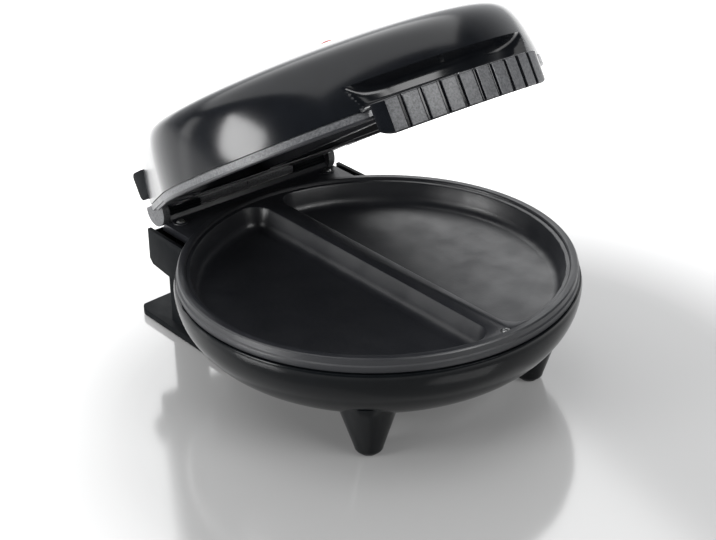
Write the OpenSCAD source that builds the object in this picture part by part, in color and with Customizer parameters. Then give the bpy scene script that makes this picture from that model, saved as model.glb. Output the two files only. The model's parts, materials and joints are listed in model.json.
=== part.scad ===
// Electric omelette maker: a countertop cooker with a hinged lid and two half-moon wells.
// The lid is drawn open by lid_open degrees, where the friction of its hinge holds it.
// The origin lies on the worktop, below the centre of the cooking plates. +X points to
// the right of a person who faces the grip, -Y towards that person, and +Z up.

/* [Base shell] */
// Widest diameter of the base shell
base_d = 225; // [216:0.5:234]
// Height of the base shell, from its underside to its top edge
base_h = 33.3; // [31:0.1:38]
// Height of the underside above the worktop
base_lift = 29; // [26:0.5:34]
// Wall of the moulded shells
shell_wall = 2.4; // [2:0.1:2.8]
// How far the side of the base curves in from its widest point to its underside
base_tuck = 18.4; // [14:0.1:22]

/* [Cooking plates] */
// Distance of the plate rims inside the widest line of the base
rim_inset = 1.5; // [1:0.1:3]
// Height of the lower plate's rim above the edge of the base shell
rim_h = 8.5; // [7:0.1:10]
// Width of the raised lip that runs round the lower plate
lip_w = 5.4; // [4:0.1:6]
// Thickness of the cast plates
plate_t = 3.2; // [2.6:0.1:3.6]
// Distance from the plates' rim to the outer arc of the wells
well_margin = 7.6; // [7:0.1:10]
// Width of the web between the two wells
web_w = 12; // [10:0.5:16]
// Depth of the wells in the lower plate
lower_depth = 13; // [10:0.5:14]
// Depth of the wells in the upper plate
upper_depth = 10; // [8:0.5:14]
// Radius of the wells' corners, seen from above
well_corner = 11; // [8:0.5:14]
// Gap between the two plates when the lid is closed
closing_gap = 1.5; // [0.8:0.1:2]

/* [Lid] */
// Angle that the lid stands open by
lid_open = 31.5; // [0:0.5:100]
// Height of the lid's shell, from its lower edge to its crown
lid_h = 45.1; // [42:0.1:52]
// Distance of the lid's edge inside the plate rims
lid_inset = 2.5; // [1:0.1:3]
// Radius of the lid's gently domed crown
crown_r = 530; // [450:10:800]
// Distance between the outer faces of the lid's rear corners
lid_rear_w = 129.6; // [127:0.2:134]
// Depth of the bezel below the lid's shell
bezel_h = 3.2; // [2.8:0.1:5]
// Dark groove between the shell and its bezel
bezel_gap = 0.6; // [0.4:0.1:1]

/* [Hinge] */
// Distance of the hinge axis behind the widest line of the base
hinge_back = 13.5; // [12.5:0.5:16]
// Height of the hinge axis above the top of the lower plate
hinge_up = 2.2; // [1.6:0.1:3]
// Diameter of the hinge barrel
barrel_d = 9.6; // [9:0.2:11]
// Diameter of the hinge pin
pin_d = 4; // [3:0.5:5]
// Width of the whole barrel
barrel_w = 115.4; // [112:0.2:116]
// Diameter of the round cheeks at the lid's rear corners
cheek_d = 18; // [16:0.5:19]
// Thickness of those cheeks
cheek_t = 4.4; // [3.6:0.1:5]

/* [Grip] */
// How far the grip stands out beyond the plates' rim
grip_reach = 5; // [4.5:0.1:8]
// Height of the grip's ribbed front
grip_h = 17.2; // [16:0.1:20]
// How far the grip hangs below the top of the lower plate
grip_drop = 8.6; // [6:0.1:9]
// Angle from the middle of the grip to the start of its rounded ends
grip_half_angle = 24.5; // [18:0.5:28]
// Angle between two grooves of the grip
groove_pitch = 5.3; // [4:0.1:6.5]
// Number of grooves across the grip
groove_count = 9; // [5:2:13]
// Width of a groove
groove_w = 2.4; // [1.6:0.1:3]
// Height of the finger opening above the grip
finger_h = 12.5; // [10:0.5:15]
// Depth of the finger opening behind the lid's edge
finger_depth = 8.5; // [7:0.5:9.5]

/* [Legs and stand] */
// Distance of a front leg to the side of the middle
leg_x = 58; // [52:1:62]
// Distance of a front leg in front of the middle
leg_y = 62; // [56:1:64]
// Diameter of a front leg at its tip
leg_tip_d = 16; // [14:0.5:18]
// Diameter of a front leg where it meets the underside
leg_root_d = 32; // [26:0.5:34]
// Width of the rear stand
stand_w = 134; // [124:1:138]
// Thickness of the rear stand's plate
stand_t = 4; // [3:0.5:5]
// How far the rear stand reaches behind the hinge axis
stand_back = 22; // [20:0.5:26]
// Height of the rubber pads that the part stands on
pad_h = 1; // [0.8:0.1:2]

/* [Rear housing] */
// Width of the housing below the hinge
housing_w = 141; // [138:0.5:143]
// Height of the housing's rear wall
housing_h = 22; // [20:0.5:25]
// Diameter of the mains cord that the inlet takes
cord_d = 7.2; // [6:0.1:8]

/* [Hidden] */

// Colours
gloss_black = [0.06, 0.06, 0.065];
matte_black = [0.16, 0.16, 0.165];
coated_black = [0.22, 0.22, 0.24];
bare_steel = [0.62, 0.63, 0.65];
bright_steel = [0.75, 0.76, 0.78];
rubber_black = [0.1, 0.1, 0.1];
porcelain = [0.85, 0.83, 0.78];
brass_yellow = [0.72, 0.58, 0.3];
sleeve_white = [0.86, 0.85, 0.8];
lamp_red = [0.75, 0.08, 0.06];
lamp_green = [0.1, 0.6, 0.2];

// Levels, from the worktop up
under_z = base_lift;
shell_z = under_z + base_h;
rim_gap = 0.8;
rim_z = shell_z + rim_h;
deck_z = rim_z - 1.6;
ear_z = rim_z - 2.8;
mate_z = rim_z + closing_gap;
upper_rim_h = 1.7;
bezel_z = mate_z + upper_rim_h;
part_z = bezel_z + bezel_h + bezel_gap;
crown_z = part_z + lid_h;

// Radii and the hinge axis
base_r = base_d / 2;
edge_roll = 2.3;
edge_tuck = 0.5;
plate_r = base_r - rim_inset;
lid_r = plate_r - lid_inset;
well_r = plate_r - well_margin;
hinge_y = base_r + hinge_back;
hinge_z = rim_z + hinge_up;
barrel_r = barrel_d / 2;
pin_r = pin_d / 2;
cheek_r = cheek_d / 2;

// Clearances
running_fit = 0.06;
seat_fit = 0.02;
knuckle_gap = 0.6;
swing_gap = 0.8;
screw_gap = 0.15;

// Turns what is drawn closed up to the angle that the lid stands open by
module lid_pose() {
    translate([0, hinge_y, hinge_z])
        rotate([-lid_open, 0, 0])
            translate([0, -hinge_y, -hinge_z])
                children();
}

// Draws a child twice, mirrored left to right
module both_sides() {
    children();
    mirror([1, 0, 0])
        children();
}

// A bar along X between two places, centred on y and z
module x_rod(x0, x1, y, z, r, sides = 64) {
    translate([x0, y, z])
        rotate([0, 90, 0])
            cylinder(r = r, h = x1 - x0, $fn = sides);
}

// A bar along the hinge axis
module axis_rod(x0, x1, r) {
    x_rod(x0, x1, hinge_y, hinge_z, r, 72);
}

// A flat shape with round ends, w wide over its ends and 2 r deep
module stadium(w, r) {
    square([w - 2 * r, 2 * r], center = true);
    translate([w / 2 - r, 0])
        circle(r = r, $fn = 40);
    translate([r - w / 2, 0])
        circle(r = r, $fn = 40);
}

// A rectangle with round corners, made of true arcs
module round_rect(w, d, r) {
    square([w - 2 * r, d], center = true);
    square([w, d - 2 * r], center = true);
    for (sx = [-1, 1], sy = [-1, 1])
        translate([sx * (w / 2 - r), sy * (d / 2 - r)])
            circle(r = r, $fn = 40);
}

// A cross-head screw that points down: its head's top is at z = 0
module screw_down(head_d, head_h, shank_d, shank_h) {
    difference() {
        union() {
            rotate_extrude($fn = 48)
                polygon([[0, -head_h], [head_d / 2, -head_h], [head_d / 2, -0.45 * head_h],
                    [0.36 * head_d, 0], [0, 0]]);
            translate([0, 0, -head_h - shank_h])
                cylinder(d = shank_d, h = shank_h + 0.01, $fn = 32);
        }
        for (a = [0, 90])
            rotate([0, 0, a])
                translate([-0.3 * head_d, -0.07 * head_d, -0.55 * head_h])
                    cube([0.6 * head_d, 0.14 * head_d, head_h]);
    }
}

// A tube of radius r that follows a list of points, closed at both ends
module swept_tube(points, r, beside = [1, 0, 0], sides = 8) {
    n = len(points);
    function unit(v) = v / norm(v);
    rings = [for (i = [0:n - 1])
        let (
            t = unit(points[min(i + 1, n - 1)] - points[max(i - 1, 0)]),
            u = unit(cross(t, beside)),
            v = cross(t, u)
        )
            for (k = [0:sides - 1])
                points[i] + r * (cos(360 * k / sides) * u + sin(360 * k / sides) * v)];
    walls = [for (i = [0:n - 2], k = [0:sides - 1])
        let (a = i * sides + k, b = i * sides + (k + 1) % sides)
            [a, a + sides, b + sides, b]];
    first_cap = [for (k = [0:sides - 1]) k];
    last_cap = [for (k = [sides - 1:-1:0]) (n - 1) * sides + k];
    polyhedron(points = rings, faces = concat([first_cap], walls, [last_cap]), convexity = 6);
}

// A smooth wire between two ends: leaves a upwards by lift_a and b by lift_b
function bend_points(a, lift_a, b, lift_b, steps = 10) =
    [for (i = [0:steps])
        let (s = i / steps, p = a + lift_a, q = b + lift_b)
            pow(1 - s, 3) * a + 3 * pow(1 - s, 2) * s * p + 3 * (1 - s) * s * s * q + pow(s, 3) * b];

// Base shell

widest_z = shell_z - edge_roll;
curve_share = 0.775;
curve_z = (widest_z - under_z) / curve_share;
curve_x = base_tuck / (1 - sqrt(1 - curve_share * curve_share));
curve_end = asin(curve_share);
floor_z = under_z + shell_wall;
vent_ring_r = 56;
vent_count = 10;
plate_screw_r = plate_r - 7.1;
boss_r = 4;
pilot_r = 1.35;
wire_hole_z = shell_z - 11;
post_x = 34;
post_y = 77;
post_w = 30;
post_r = 8;
column_w = 18;
column_d = 15;
column_round = 4;
housing_screw_x = 42;
housing_screw_z = shell_z - 13;

// A point of the base's side, t degrees round the ellipse and inset along its normal
function side_point(t, inset) =
    let (n = [curve_z * cos(t), -curve_x * sin(t)])
        [base_r - curve_x * (1 - cos(t)), widest_z - curve_z * sin(t)] - inset * n / norm(n);

module base_solid() {
    steps = 14;
    side = [for (i = [0:steps]) side_point(curve_end * i / steps, 0)];
    rotate_extrude($fn = 180)
        polygon(concat([[0, shell_z], [base_r - edge_tuck, shell_z]], side, [[0, under_z]]));
}

module base_hollow() {
    steps = 10;
    side = [for (i = [0:steps])
        let (p = side_point(curve_end * i / steps, shell_wall))
            if (p.y > floor_z + 0.5) p];
    rotate_extrude($fn = 180)
        polygon(concat([[0, shell_z + 1], [base_r - edge_tuck - shell_wall, shell_z + 1]], side,
            [[side[len(side) - 1].x - 1.5, floor_z], [0, floor_z]]));
}

module front_leg() {
    tip_r = leg_tip_d / 2;
    root_r = leg_root_d / 2;
    tip_round = 3;
    into_shell = 7;
    flare = (root_r - tip_r) / (under_z - pad_h - tip_round);
    rotate_extrude($fn = 72)
        polygon(concat([[0, pad_h]],
            [for (a = [0:22.5:90]) [tip_r - tip_round * (1 - sin(a)), pad_h + tip_round * (1 - cos(a))]],
            [[root_r + flare * into_shell, under_z + into_shell], [0, under_z + into_shell]]));
}

module base_shell() {
    color(gloss_black)
        difference() {
            union() {
                difference() {
                    union() {
                        base_solid();
                        for (s = [-1, 1])
                            translate([s * leg_x, -leg_y, 0])
                                front_leg();
                    }
                    base_hollow();
                }
                intersection() {
                    base_solid();
                    union() {
                        translate([0, -plate_screw_r, floor_z - 0.5])
                            cylinder(r = boss_r, h = shell_z - floor_z, $fn = 40);
                        for (s = [-1, 1]) {
                            translate([s * post_x, post_y, floor_z - 0.5])
                                cylinder(r = boss_r, h = 8, $fn = 40);
                            translate([s * housing_screw_x, housing_seat_y, housing_screw_z])
                                rotate([-90, 0, 0])
                                    cylinder(r = boss_r + 0.4, h = 12, $fn = 40);
                        }
                    }
                }
                translate([0, -plate_screw_r, shell_z - 8])
                    cylinder(r = boss_r, h = deck_z - plate_t - shell_z + 8, $fn = 40);
            }
            translate([0, -plate_screw_r, shell_z - 12])
                cylinder(r = pilot_r, h = 30, $fn = 32);
            for (s = [-1, 1]) {
                translate([s * post_x, post_y, under_z - 1])
                    cylinder(r = pilot_r, h = 8, $fn = 32);
                translate([s * leg_x, -leg_y, 0])
                    cylinder(r = pad_seat_r + seat_fit, h = pad_h + pad_sink, $fn = 48);
                translate([s * housing_screw_x, base_r - 30, housing_screw_z])
                    rotate([-90, 0, 0])
                        cylinder(r = housing_screw_r + screw_gap, h = 40, $fn = 32);
            }
            translate([0, base_r - 20, wire_hole_z])
                rotate([-90, 0, 0])
                    cylinder(r = wire_hole_r, h = 30, $fn = 48);
            for (i = [0:vent_count - 1])
                rotate([0, 0, 360 * (i + 0.5) / vent_count])
                    translate([vent_ring_r, 0, under_z - 1])
                        rotate([0, 0, 90])
                            linear_extrude(height = shell_wall + 2)
                                stadium(18, 2);
        }
}

// Housing below the hinge

housing_back = hinge_y - 3;
housing_top = ear_z - 2;
housing_low = housing_top - housing_h;
housing_fall = 4.5;
housing_front = 80;
inner_knuckle_w = 33.5;
gland_z = housing_top - 9.5;
wire_hole_r = 7.7;
housing_screw_r = 1.5;
ear_screw_x = 53.6;
ear_screw_y = hinge_y - 12.4;
ear_boss_z = housing_low + 0.5;
plate_gap = 0.5;

// Extrudes a flat shape drawn in Y and Z along X, w wide and centred
module yz_extrude(w) {
    rotate([90, 0, 90])
        linear_extrude(height = w, center = true)
            children();
}

module housing_outline(inset) {
    low_front = housing_low - housing_fall;
    polygon([[housing_front - inset, low_front + inset], [housing_back - 3 - inset, housing_low + inset],
        [housing_back - inset, housing_low + 3 + inset], [housing_back - inset, housing_top + 20 * inset],
        [housing_front - inset, housing_top + 20 * inset]]);
}

module hinge_housing() {
    outer_knuckle = knuckle_gap * 1.5 + inner_knuckle_w;
    color(matte_black)
        difference() {
            union() {
                difference() {
                    yz_extrude(housing_w)
                        housing_outline(0);
                    yz_extrude(housing_w - 2 * shell_wall)
                        housing_outline(shell_wall);
                    translate([0, 0, shell_z])
                        cylinder(r = plate_r + plate_gap, h = 40, $fn = 180);
                    base_solid();
                }
                both_sides()
                    difference() {
                        union() {
                            translate([ear_screw_x, ear_screw_y, ear_boss_z])
                                cylinder(r = boss_r - 0.4, h = ear_z - plate_t - ear_boss_z, $fn = 40);
                            axis_rod(outer_knuckle, barrel_w / 2, barrel_r);
                            translate([outer_knuckle, housing_back - shell_wall, housing_top - 8])
                                cube([barrel_w / 2 - outer_knuckle, shell_wall + 0.4,
                                    hinge_z - housing_top + 8]);
                        }
                        translate([ear_screw_x, ear_screw_y, ear_z - 16])
                            cylinder(r = pilot_r, h = 20, $fn = 32);
                        axis_rod(outer_knuckle - 1, barrel_w / 2 + 1, pin_r + seat_fit);
                    }
            }
            both_sides()
                axis_rod(barrel_w / 2 + 0.2, housing_w / 2 - shell_wall, cheek_r + swing_gap);
            axis_rod(-outer_knuckle + knuckle_gap / 2, outer_knuckle - knuckle_gap / 2, barrel_r + swing_gap);
            translate([0, housing_back + 5, gland_z])
                rotate([90, 0, 0])
                    cylinder(r = gland_neck_r + seat_fit, h = 15, $fn = 48);
            both_sides()
                translate([housing_screw_x, 0, housing_screw_z])
                    rotate([-90, 0, 0])
                        cylinder(r = pilot_r, h = housing_back - 4, $fn = 32);
        }
}

module housing_screws() {
    color(bright_steel)
        both_sides()
            translate([housing_screw_x, housing_seat_y, housing_screw_z])
                rotate([90, 0, 0])
                    difference() {
                        union() {
                            cylinder(r = 2.8, h = 2, $fn = 40);
                            translate([0, 0, -12])
                                cylinder(r = pilot_r - seat_fit, h = 12.01, $fn = 32);
                        }
                        translate([-2, -0.3, 1])
                            cube([4, 0.6, 2]);
                    }
}

// Where the inner face of the base's side lies behind the middle, at a given x and z
function side_inner_y(x, z) =
    let (s = (widest_z - z) / curve_z, r = base_r - shell_wall - curve_x * (1 - sqrt(1 - s * s)))
        sqrt(r * r - x * x);

housing_seat_y = side_inner_y(housing_screw_x, housing_screw_z) - 2;

// Inlet for the mains cord

gland_neck_r = cord_d / 2 + 2.4;
gland_flange_r = gland_neck_r + 2.4;
gland_flange_t = 2.5;
gland_inner_l = 5;

module cord_gland() {
    bore_r = cord_d / 2;
    inner_end = -shell_wall - gland_inner_l;
    color(rubber_black)
        translate([0, housing_back, gland_z])
            rotate([-90, 0, 0])
                rotate_extrude($fn = 64)
                    polygon([[bore_r, inner_end], [gland_neck_r - 0.6, inner_end],
                        [gland_neck_r + 1, -shell_wall - 1.4], [gland_neck_r + 1, -shell_wall - 0.05],
                        [gland_neck_r, -shell_wall - 0.05], [gland_neck_r, 0.05],
                        [gland_flange_r, 0.05], [gland_flange_r, gland_flange_t - 0.8],
                        [gland_flange_r - 0.8, gland_flange_t], [bore_r, gland_flange_t]]);
}

// Rear stand: the rear foot, the posts that the cord winds round, and their screws

stand_low = pad_h;
stand_edge = hinge_y + stand_back;
stand_front = 58;
stand_bow_r = 700;
stand_corner_r = 6;
pad_sink = 2;
pad_seat_r = 5.5;
stand_pad_x = stand_w / 2 - 14;
column_in = 17.5;
column_x = housing_w / 2 - column_in;
stand_pad_y = stand_edge - 14;
stand_screw_r = 1.5;
stand_head_r = 3.2;

module stand_outline() {
    corner_y = stand_edge - 9;
    intersection() {
        union() {
            translate([0, (corner_y + stand_front) / 2])
                round_rect(stand_w, corner_y - stand_front, stand_corner_r);
            translate([0, stand_edge - 22])
                round_rect(stand_w, 42, stand_corner_r + 3);
        }
        translate([0, stand_edge - stand_bow_r])
            circle(r = stand_bow_r, $fn = 720);
    }
}

module rear_stand() {
    color(matte_black)
        difference() {
            union() {
                translate([0, 0, stand_low])
                    linear_extrude(height = stand_t)
                        stand_outline();
                for (s = [-1, 1])
                    translate([s * post_x, post_y, stand_low])
                        linear_extrude(height = under_z + 5 - stand_low)
                            stadium(post_w, post_r);
                for (s = [-1, 1])
                    translate([s * column_x, housing_back - 3 - column_d / 2, stand_low])
                        linear_extrude(height = housing_low - stand_low)
                            round_rect(column_w, column_d, column_round);
            }
            base_solid();
            yz_extrude(housing_w + 2)
                housing_outline(-seat_fit);
            translate([0, stand_front + 2, stand_low - 1])
                linear_extrude(height = stand_t + 2)
                    stadium(30, 12);
            for (s = [-1, 1]) {
                translate([s * post_x, post_y, stand_low - 1]) {
                    cylinder(r = stand_screw_r + screw_gap, h = 40, $fn = 32);
                    cylinder(r = stand_head_r + 0.3, h = under_z - 9 - stand_low, $fn = 40);
                }
                translate([s * stand_pad_x, stand_pad_y, 0])
                    cylinder(r = pad_seat_r + seat_fit, h = pad_h + pad_sink, $fn = 48);
            }
        }
}

module stand_screws() {
    color(bright_steel)
        for (s = [-1, 1])
            translate([s * post_x, post_y, under_z - 10])
                rotate([180, 0, 0])
                    translate([0, 0, 2])
                        screw_down(2 * stand_head_r, 2, 2 * pilot_r - 0.04, 15);
}

module foot_pads() {
    color(rubber_black)
        for (s = [-1, 1], p = [[leg_x, -leg_y], [stand_pad_x, stand_pad_y]])
            translate([s * p.x, p.y, 0])
                rotate_extrude($fn = 48)
                    polygon([[0, 0], [pad_seat_r - 0.6, 0], [pad_seat_r, 0.6],
                        [pad_seat_r, pad_h + pad_sink], [0, pad_h + pad_sink]]);
}

// Cooking plates

pan_fillet = 5;
pan_draft = 0.28;
skirt_t = 3.2;
ear_w = 124;
ear_front = 84;
ear_back = hinge_y - barrel_r - 1.3;
curb_z = rim_z + 0.5;
curb_t = 6;
curb_w = barrel_w - 1;
ear_skirt_t = 3;
clamp_post_r = 4;
clamp_post_ring = plate_r - 35;
clamp_angles = [30, 150, 270];
lower_pan_z = deck_z - lower_depth - plate_t;
upper_deck_z = mate_z + 1.6;
upper_pan_z = upper_deck_z + upper_depth + plate_t;
heater_r = 3.3;
heater_flat = 0.3;
heater_end_h = 10;
heater_pin_h = 5;
lower_ring_r = plate_r - 49;
upper_ring_r = plate_r - 53;
shield_t = 0.8;
shield_r = plate_r - 23;

// Outline of the right-hand well for an arc of radius r, inset by off
function half_moon(r, off) =
    let (
        big = r - off,
        x0 = web_w / 2 + off,
        c = max(well_corner - off, 1.5),
        cx = x0 + c,
        cy = sqrt((big - c) * (big - c) - cx * cx),
        meet = atan2(cy, cx),
        arc_steps = 22,
        corner_steps = 7
    )
    concat(
        [for (i = [0:arc_steps]) let (a = -meet + 2 * meet * i / arc_steps) big * [cos(a), sin(a)]],
        [for (i = [1:corner_steps]) let (a = meet + (180 - meet) * i / corner_steps)
            [cx + c * cos(a), cy + c * sin(a)]],
        [for (i = [0:corner_steps - 1]) let (a = 180 + (180 - meet) * i / corner_steps)
            [cx + c * cos(a), -cy + c * sin(a)]]);

// Lofts the well's outline through a list of [inset, height]
module moon_loft(r, levels) {
    rings = [for (l = levels) half_moon(r, l[0])];
    n = len(rings[0]);
    points = [for (j = [0:len(levels) - 1], p = rings[j]) [p.x, p.y, levels[j][1]]];
    walls = [for (j = [0:len(levels) - 2], i = [0:n - 1])
        let (a = j * n + i, b = j * n + (i + 1) % n)
            each [[a, b + n, b], [a, a + n, b + n]]];
    polyhedron(points = points, faces = concat(walls, [[for (i = [0:n - 1]) i]],
        [[for (i = [n - 1:-1:0]) (len(levels) - 1) * n + i]]), convexity = 4);
}

// The hollow of a well, drawn with its floor at z = 0 and its mouth above
module well_hollow(r, depth) {
    wall_in = (depth - pan_fillet) * pan_draft;
    lift = pan_fillet * [1, 0.4, 0.12, 0];
    moon_loft(r, concat(
        [[wall_in + pan_fillet, 0]],
        [for (a = [30, 60, 90]) [wall_in + pan_fillet * (1 - sin(a)), pan_fillet * (1 - cos(a))]],
        [[0.3, depth - 1], [-0.1, depth - 0.3], [-0.8, depth], [-0.8, depth + 0.6]]));
}

// The outside of the same well, down to its outer floor at z = -plate_t
module well_outside(r, depth) {
    wall_in = (depth - pan_fillet) * pan_draft;
    moon_loft(r, [[wall_in + pan_fillet - 1.2, -plate_t], [wall_in - 0.4, -plate_t + 2.4],
        [wall_in - plate_t * 0.9, pan_fillet - 1], [-plate_t, depth - 0.5]]);
}

// Clamp posts and the rib between the wells, drawn above z = 0
module plate_back(r, depth, reach) {
    both_sides()
        well_outside(r, depth);
    translate([-web_w / 2 - 1, 12 - r, -plate_t])
        cube([web_w + 2, 2 * r - 24, depth]);
    for (a = clamp_angles)
        rotate([0, 0, a])
            translate([clamp_post_ring, 0, -plate_t - reach])
                cylinder(r = clamp_post_r, h = reach + 0.5, $fn = 40);
}

module clamp_pilots(reach) {
    for (a = clamp_angles)
        rotate([0, 0, a])
            translate([clamp_post_ring, 0, -plate_t - reach - 1])
                cylinder(r = pilot_r, h = reach + 2, $fn = 32);
}

clamp_reach = 2 * heater_r - heater_flat;

module lower_plate() {
    lip_in = plate_r - lip_w;
    color(coated_black)
        difference() {
            union() {
                rotate_extrude($fn = 180)
                    polygon([[0, deck_z - plate_t], [plate_r - skirt_t, deck_z - plate_t],
                        [plate_r - skirt_t, shell_z + rim_gap], [plate_r, shell_z + rim_gap],
                        [plate_r, rim_z - 4.4], [plate_r - 0.9, rim_z - 3.8], [plate_r - 0.9, rim_z - 0.8],
                        [plate_r - 1.6, rim_z], [lip_in + 0.6, rim_z], [lip_in, rim_z - 0.6],
                        [lip_in - 0.2, deck_z], [0, deck_z]]);
                difference() {
                    translate([-ear_w / 2, ear_front, shell_z + rim_gap])
                        cube([ear_w, ear_back - ear_front, ear_z - shell_z - rim_gap]);
                    translate([-ear_w / 2 + ear_skirt_t, ear_front - 1, shell_z])
                        cube([ear_w - 2 * ear_skirt_t, ear_back - ear_front + 2, ear_z - plate_t - shell_z]);
                    both_sides()
                        axis_rod(barrel_w / 2 - 0.4, ear_w / 2 + 1, cheek_r + swing_gap);
                }
                translate([0, ear_back, 0])
                    yz_extrude(curb_w)
                        polygon([[-curb_t, ear_z - 1], [-curb_t, ear_z], [-2, ear_z + 1], [-0.9, curb_z],
                            [0, curb_z], [0, ear_z - 1]]);
                both_sides()
                    translate([ear_screw_x, ear_screw_y, ear_z - plate_t])
                        cylinder(r = 4.6, h = plate_t + 0.6, $fn = 48);
                translate([0, -plate_screw_r, deck_z - plate_t])
                    cylinder(r = 4.4, h = plate_t, $fn = 48);
                translate([0, 0, deck_z - lower_depth])
                    plate_back(well_r, lower_depth, clamp_reach);
            }
            both_sides()
                translate([0, 0, deck_z - lower_depth])
                    well_hollow(well_r, lower_depth);
            translate([0, 0, deck_z - lower_depth])
                clamp_pilots(clamp_reach);
            plate_screw_holes(deck_z, ear_z + 0.6);
        }
}

// Holes for the three screws of a plate, from above
module plate_screw_holes(front_top, ear_top) {
    translate([0, -plate_screw_r, front_top - 20])
        cylinder(r = 1.6, h = 21, $fn = 32);
    translate([0, -plate_screw_r, front_top - 1.2])
        cylinder(r = 3, h = 2, $fn = 40);
    both_sides()
        translate([ear_screw_x, ear_screw_y, ear_top - 20]) {
            cylinder(r = 1.6, h = 21, $fn = 32);
            translate([0, 0, 18.8])
                cylinder(r = 3, h = 2, $fn = 40);
        }
}

module lower_plate_screws() {
    color(bright_steel) {
        translate([0, -plate_screw_r, deck_z + 0.6])
            screw_down(5.4, 1.8, 2 * pilot_r - 0.04, 12);
        both_sides()
            translate([ear_screw_x, ear_screw_y, ear_z + 1.2])
                screw_down(5.4, 1.8, 2 * pilot_r - 0.04, 12);
    }
}

// Heating elements, drawn with the pan's outer floor at z = 0 and the element below it
module heater_ring(ring_r, gap_angle) {
    centre = heater_flat - heater_r;
    sides = 16;
    rotate([0, 0, 90 + gap_angle / 2])
        rotate_extrude(angle = 360 - gap_angle, $fn = 120)
            polygon([for (i = [0:sides - 1]) let (a = 360 * (i + 0.5) / sides)
                [ring_r + heater_r * cos(a), min(0, centre + heater_r * sin(a))]]);
    for (s = [-1, 1])
        rotate([0, 0, 90 + s * gap_angle / 2])
            translate([ring_r, 0, 0]) {
                translate([0, 0, -heater_end_h])
                    cylinder(r = heater_r, h = heater_end_h, $fn = 32);
                translate([0, 0, -heater_end_h - heater_pin_h])
                    cylinder(r = 1.2, h = heater_pin_h + 1, $fn = 24);
            }
}

heater_gap_angle = 24;

module lower_heater() {
    color(bare_steel)
        translate([0, 0, lower_pan_z])
            heater_ring(lower_ring_r, heater_gap_angle);
}

// Pressed shield that clamps an element to its plate, drawn below z = 0
module heat_shield(ring_r, centre_hole) {
    difference() {
        rotate_extrude($fn = 120)
            polygon([[centre_hole, -shield_t], [shield_r, -shield_t], [shield_r + 3, 4],
                [shield_r + 3 - shield_t, 4], [shield_r - shield_t, 0], [centre_hole, 0]]);
        for (s = [-1, 1])
            rotate([0, 0, 90 + s * heater_gap_angle / 2])
                translate([ring_r, 0, -3])
                    cylinder(r = heater_r + 0.5, h = 6, $fn = 40);
        for (a = clamp_angles)
            rotate([0, 0, a])
                translate([clamp_post_ring, 0, -3])
                    cylinder(r = pilot_r + 0.1, h = 6, $fn = 32);
    }
}

thermostat_r = 8.5;

module lower_reflector() {
    color(bright_steel)
        translate([0, 0, lower_pan_z - clamp_reach])
            heat_shield(lower_ring_r, thermostat_r + 3);
}

module shield_screws() {
    for (a = clamp_angles)
        rotate([0, 0, a])
            translate([clamp_post_ring, 0, -shield_t - 1.6])
                rotate([180, 0, 0])
                    screw_down(5.4, 1.6, 2 * pilot_r - 0.04, clamp_reach);
}

module lower_reflector_screws() {
    color(brass_yellow)
        translate([0, 0, lower_pan_z - clamp_reach])
            shield_screws();
}

module thermostat() {
    color(porcelain)
        translate([0, 0, lower_pan_z]) {
            difference() {
                union() {
                    translate([0, 0, -9.5])
                        cylinder(r = thermostat_r, h = 9.5, $fn = 64);
                    translate([0, 0, -1])
                        linear_extrude(height = 1)
                            rotate([0, 0, 90])
                                stadium(26, 4);
                }
                translate([0, 0, -11])
                    rotate_extrude($fn = 64)
                        polygon([[thermostat_r - 1, 0], [thermostat_r + 1, 0], [thermostat_r + 1, 3],
                            [thermostat_r, 3]]);
            }
            for (s = [-1, 1])
                translate([s * 5 - 0.4, -3, -15])
                    cube([0.8, 6, 6]);
        }
}

fuse_x = 30;
fuse_y = 12;
fuse_r = 2;
fuse_lead = 11;
shield_under = lower_pan_z - clamp_reach - shield_t;

module thermal_fuse() {
    strap_t = 0.8;
    color(brass_yellow)
        translate([fuse_x, fuse_y, shield_under]) {
            translate([0, -7, -fuse_r])
                rotate([-90, 0, 0])
                    cylinder(r = fuse_r, h = 14, $fn = 40);
            translate([0, -fuse_lead, -fuse_r])
                rotate([-90, 0, 0])
                    cylinder(r = 0.6, h = 2 * fuse_lead, $fn = 24);
            difference() {
                translate([-4, -3, -2 * fuse_r - strap_t])
                    cube([8, 6, 2 * fuse_r + strap_t]);
                translate([-4 + strap_t, -4, -2 * fuse_r])
                    cube([8 - 2 * strap_t, 8, 2 * fuse_r + 1]);
            }
        }
}

block_w = 32;
block_d = 13;
block_h = 9;
block_y = base_r - 36.5;

module terminal_block() {
    color(porcelain)
        translate([0, block_y, floor_z])
            difference() {
                translate([-block_w / 2, -block_d / 2, 0])
                    cube([block_w, block_d, block_h]);
                for (i = [-1:1])
                    translate([i * 10, 0, 0]) {
                        translate([0, 0, 5])
                            cylinder(r = 2.2, h = 10, $fn = 32);
                        translate([0, -10, 3.5])
                            rotate([-90, 0, 0])
                                cylinder(r = 1.6, h = 20, $fn = 32);
                    }
                for (i = [-1, 1])
                    translate([i * 5, -10, block_h - 3])
                        cube([1.6, 20, 5], center = false);
            }
}

// Wires inside the base

wire_r = 1.1;
wire_gap = 0.5;
block_wire_z = floor_z + 3.5;
thermostat_tab_z = lower_pan_z - 15;
pin_end_drop = heater_end_h + heater_pin_h;

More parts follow.
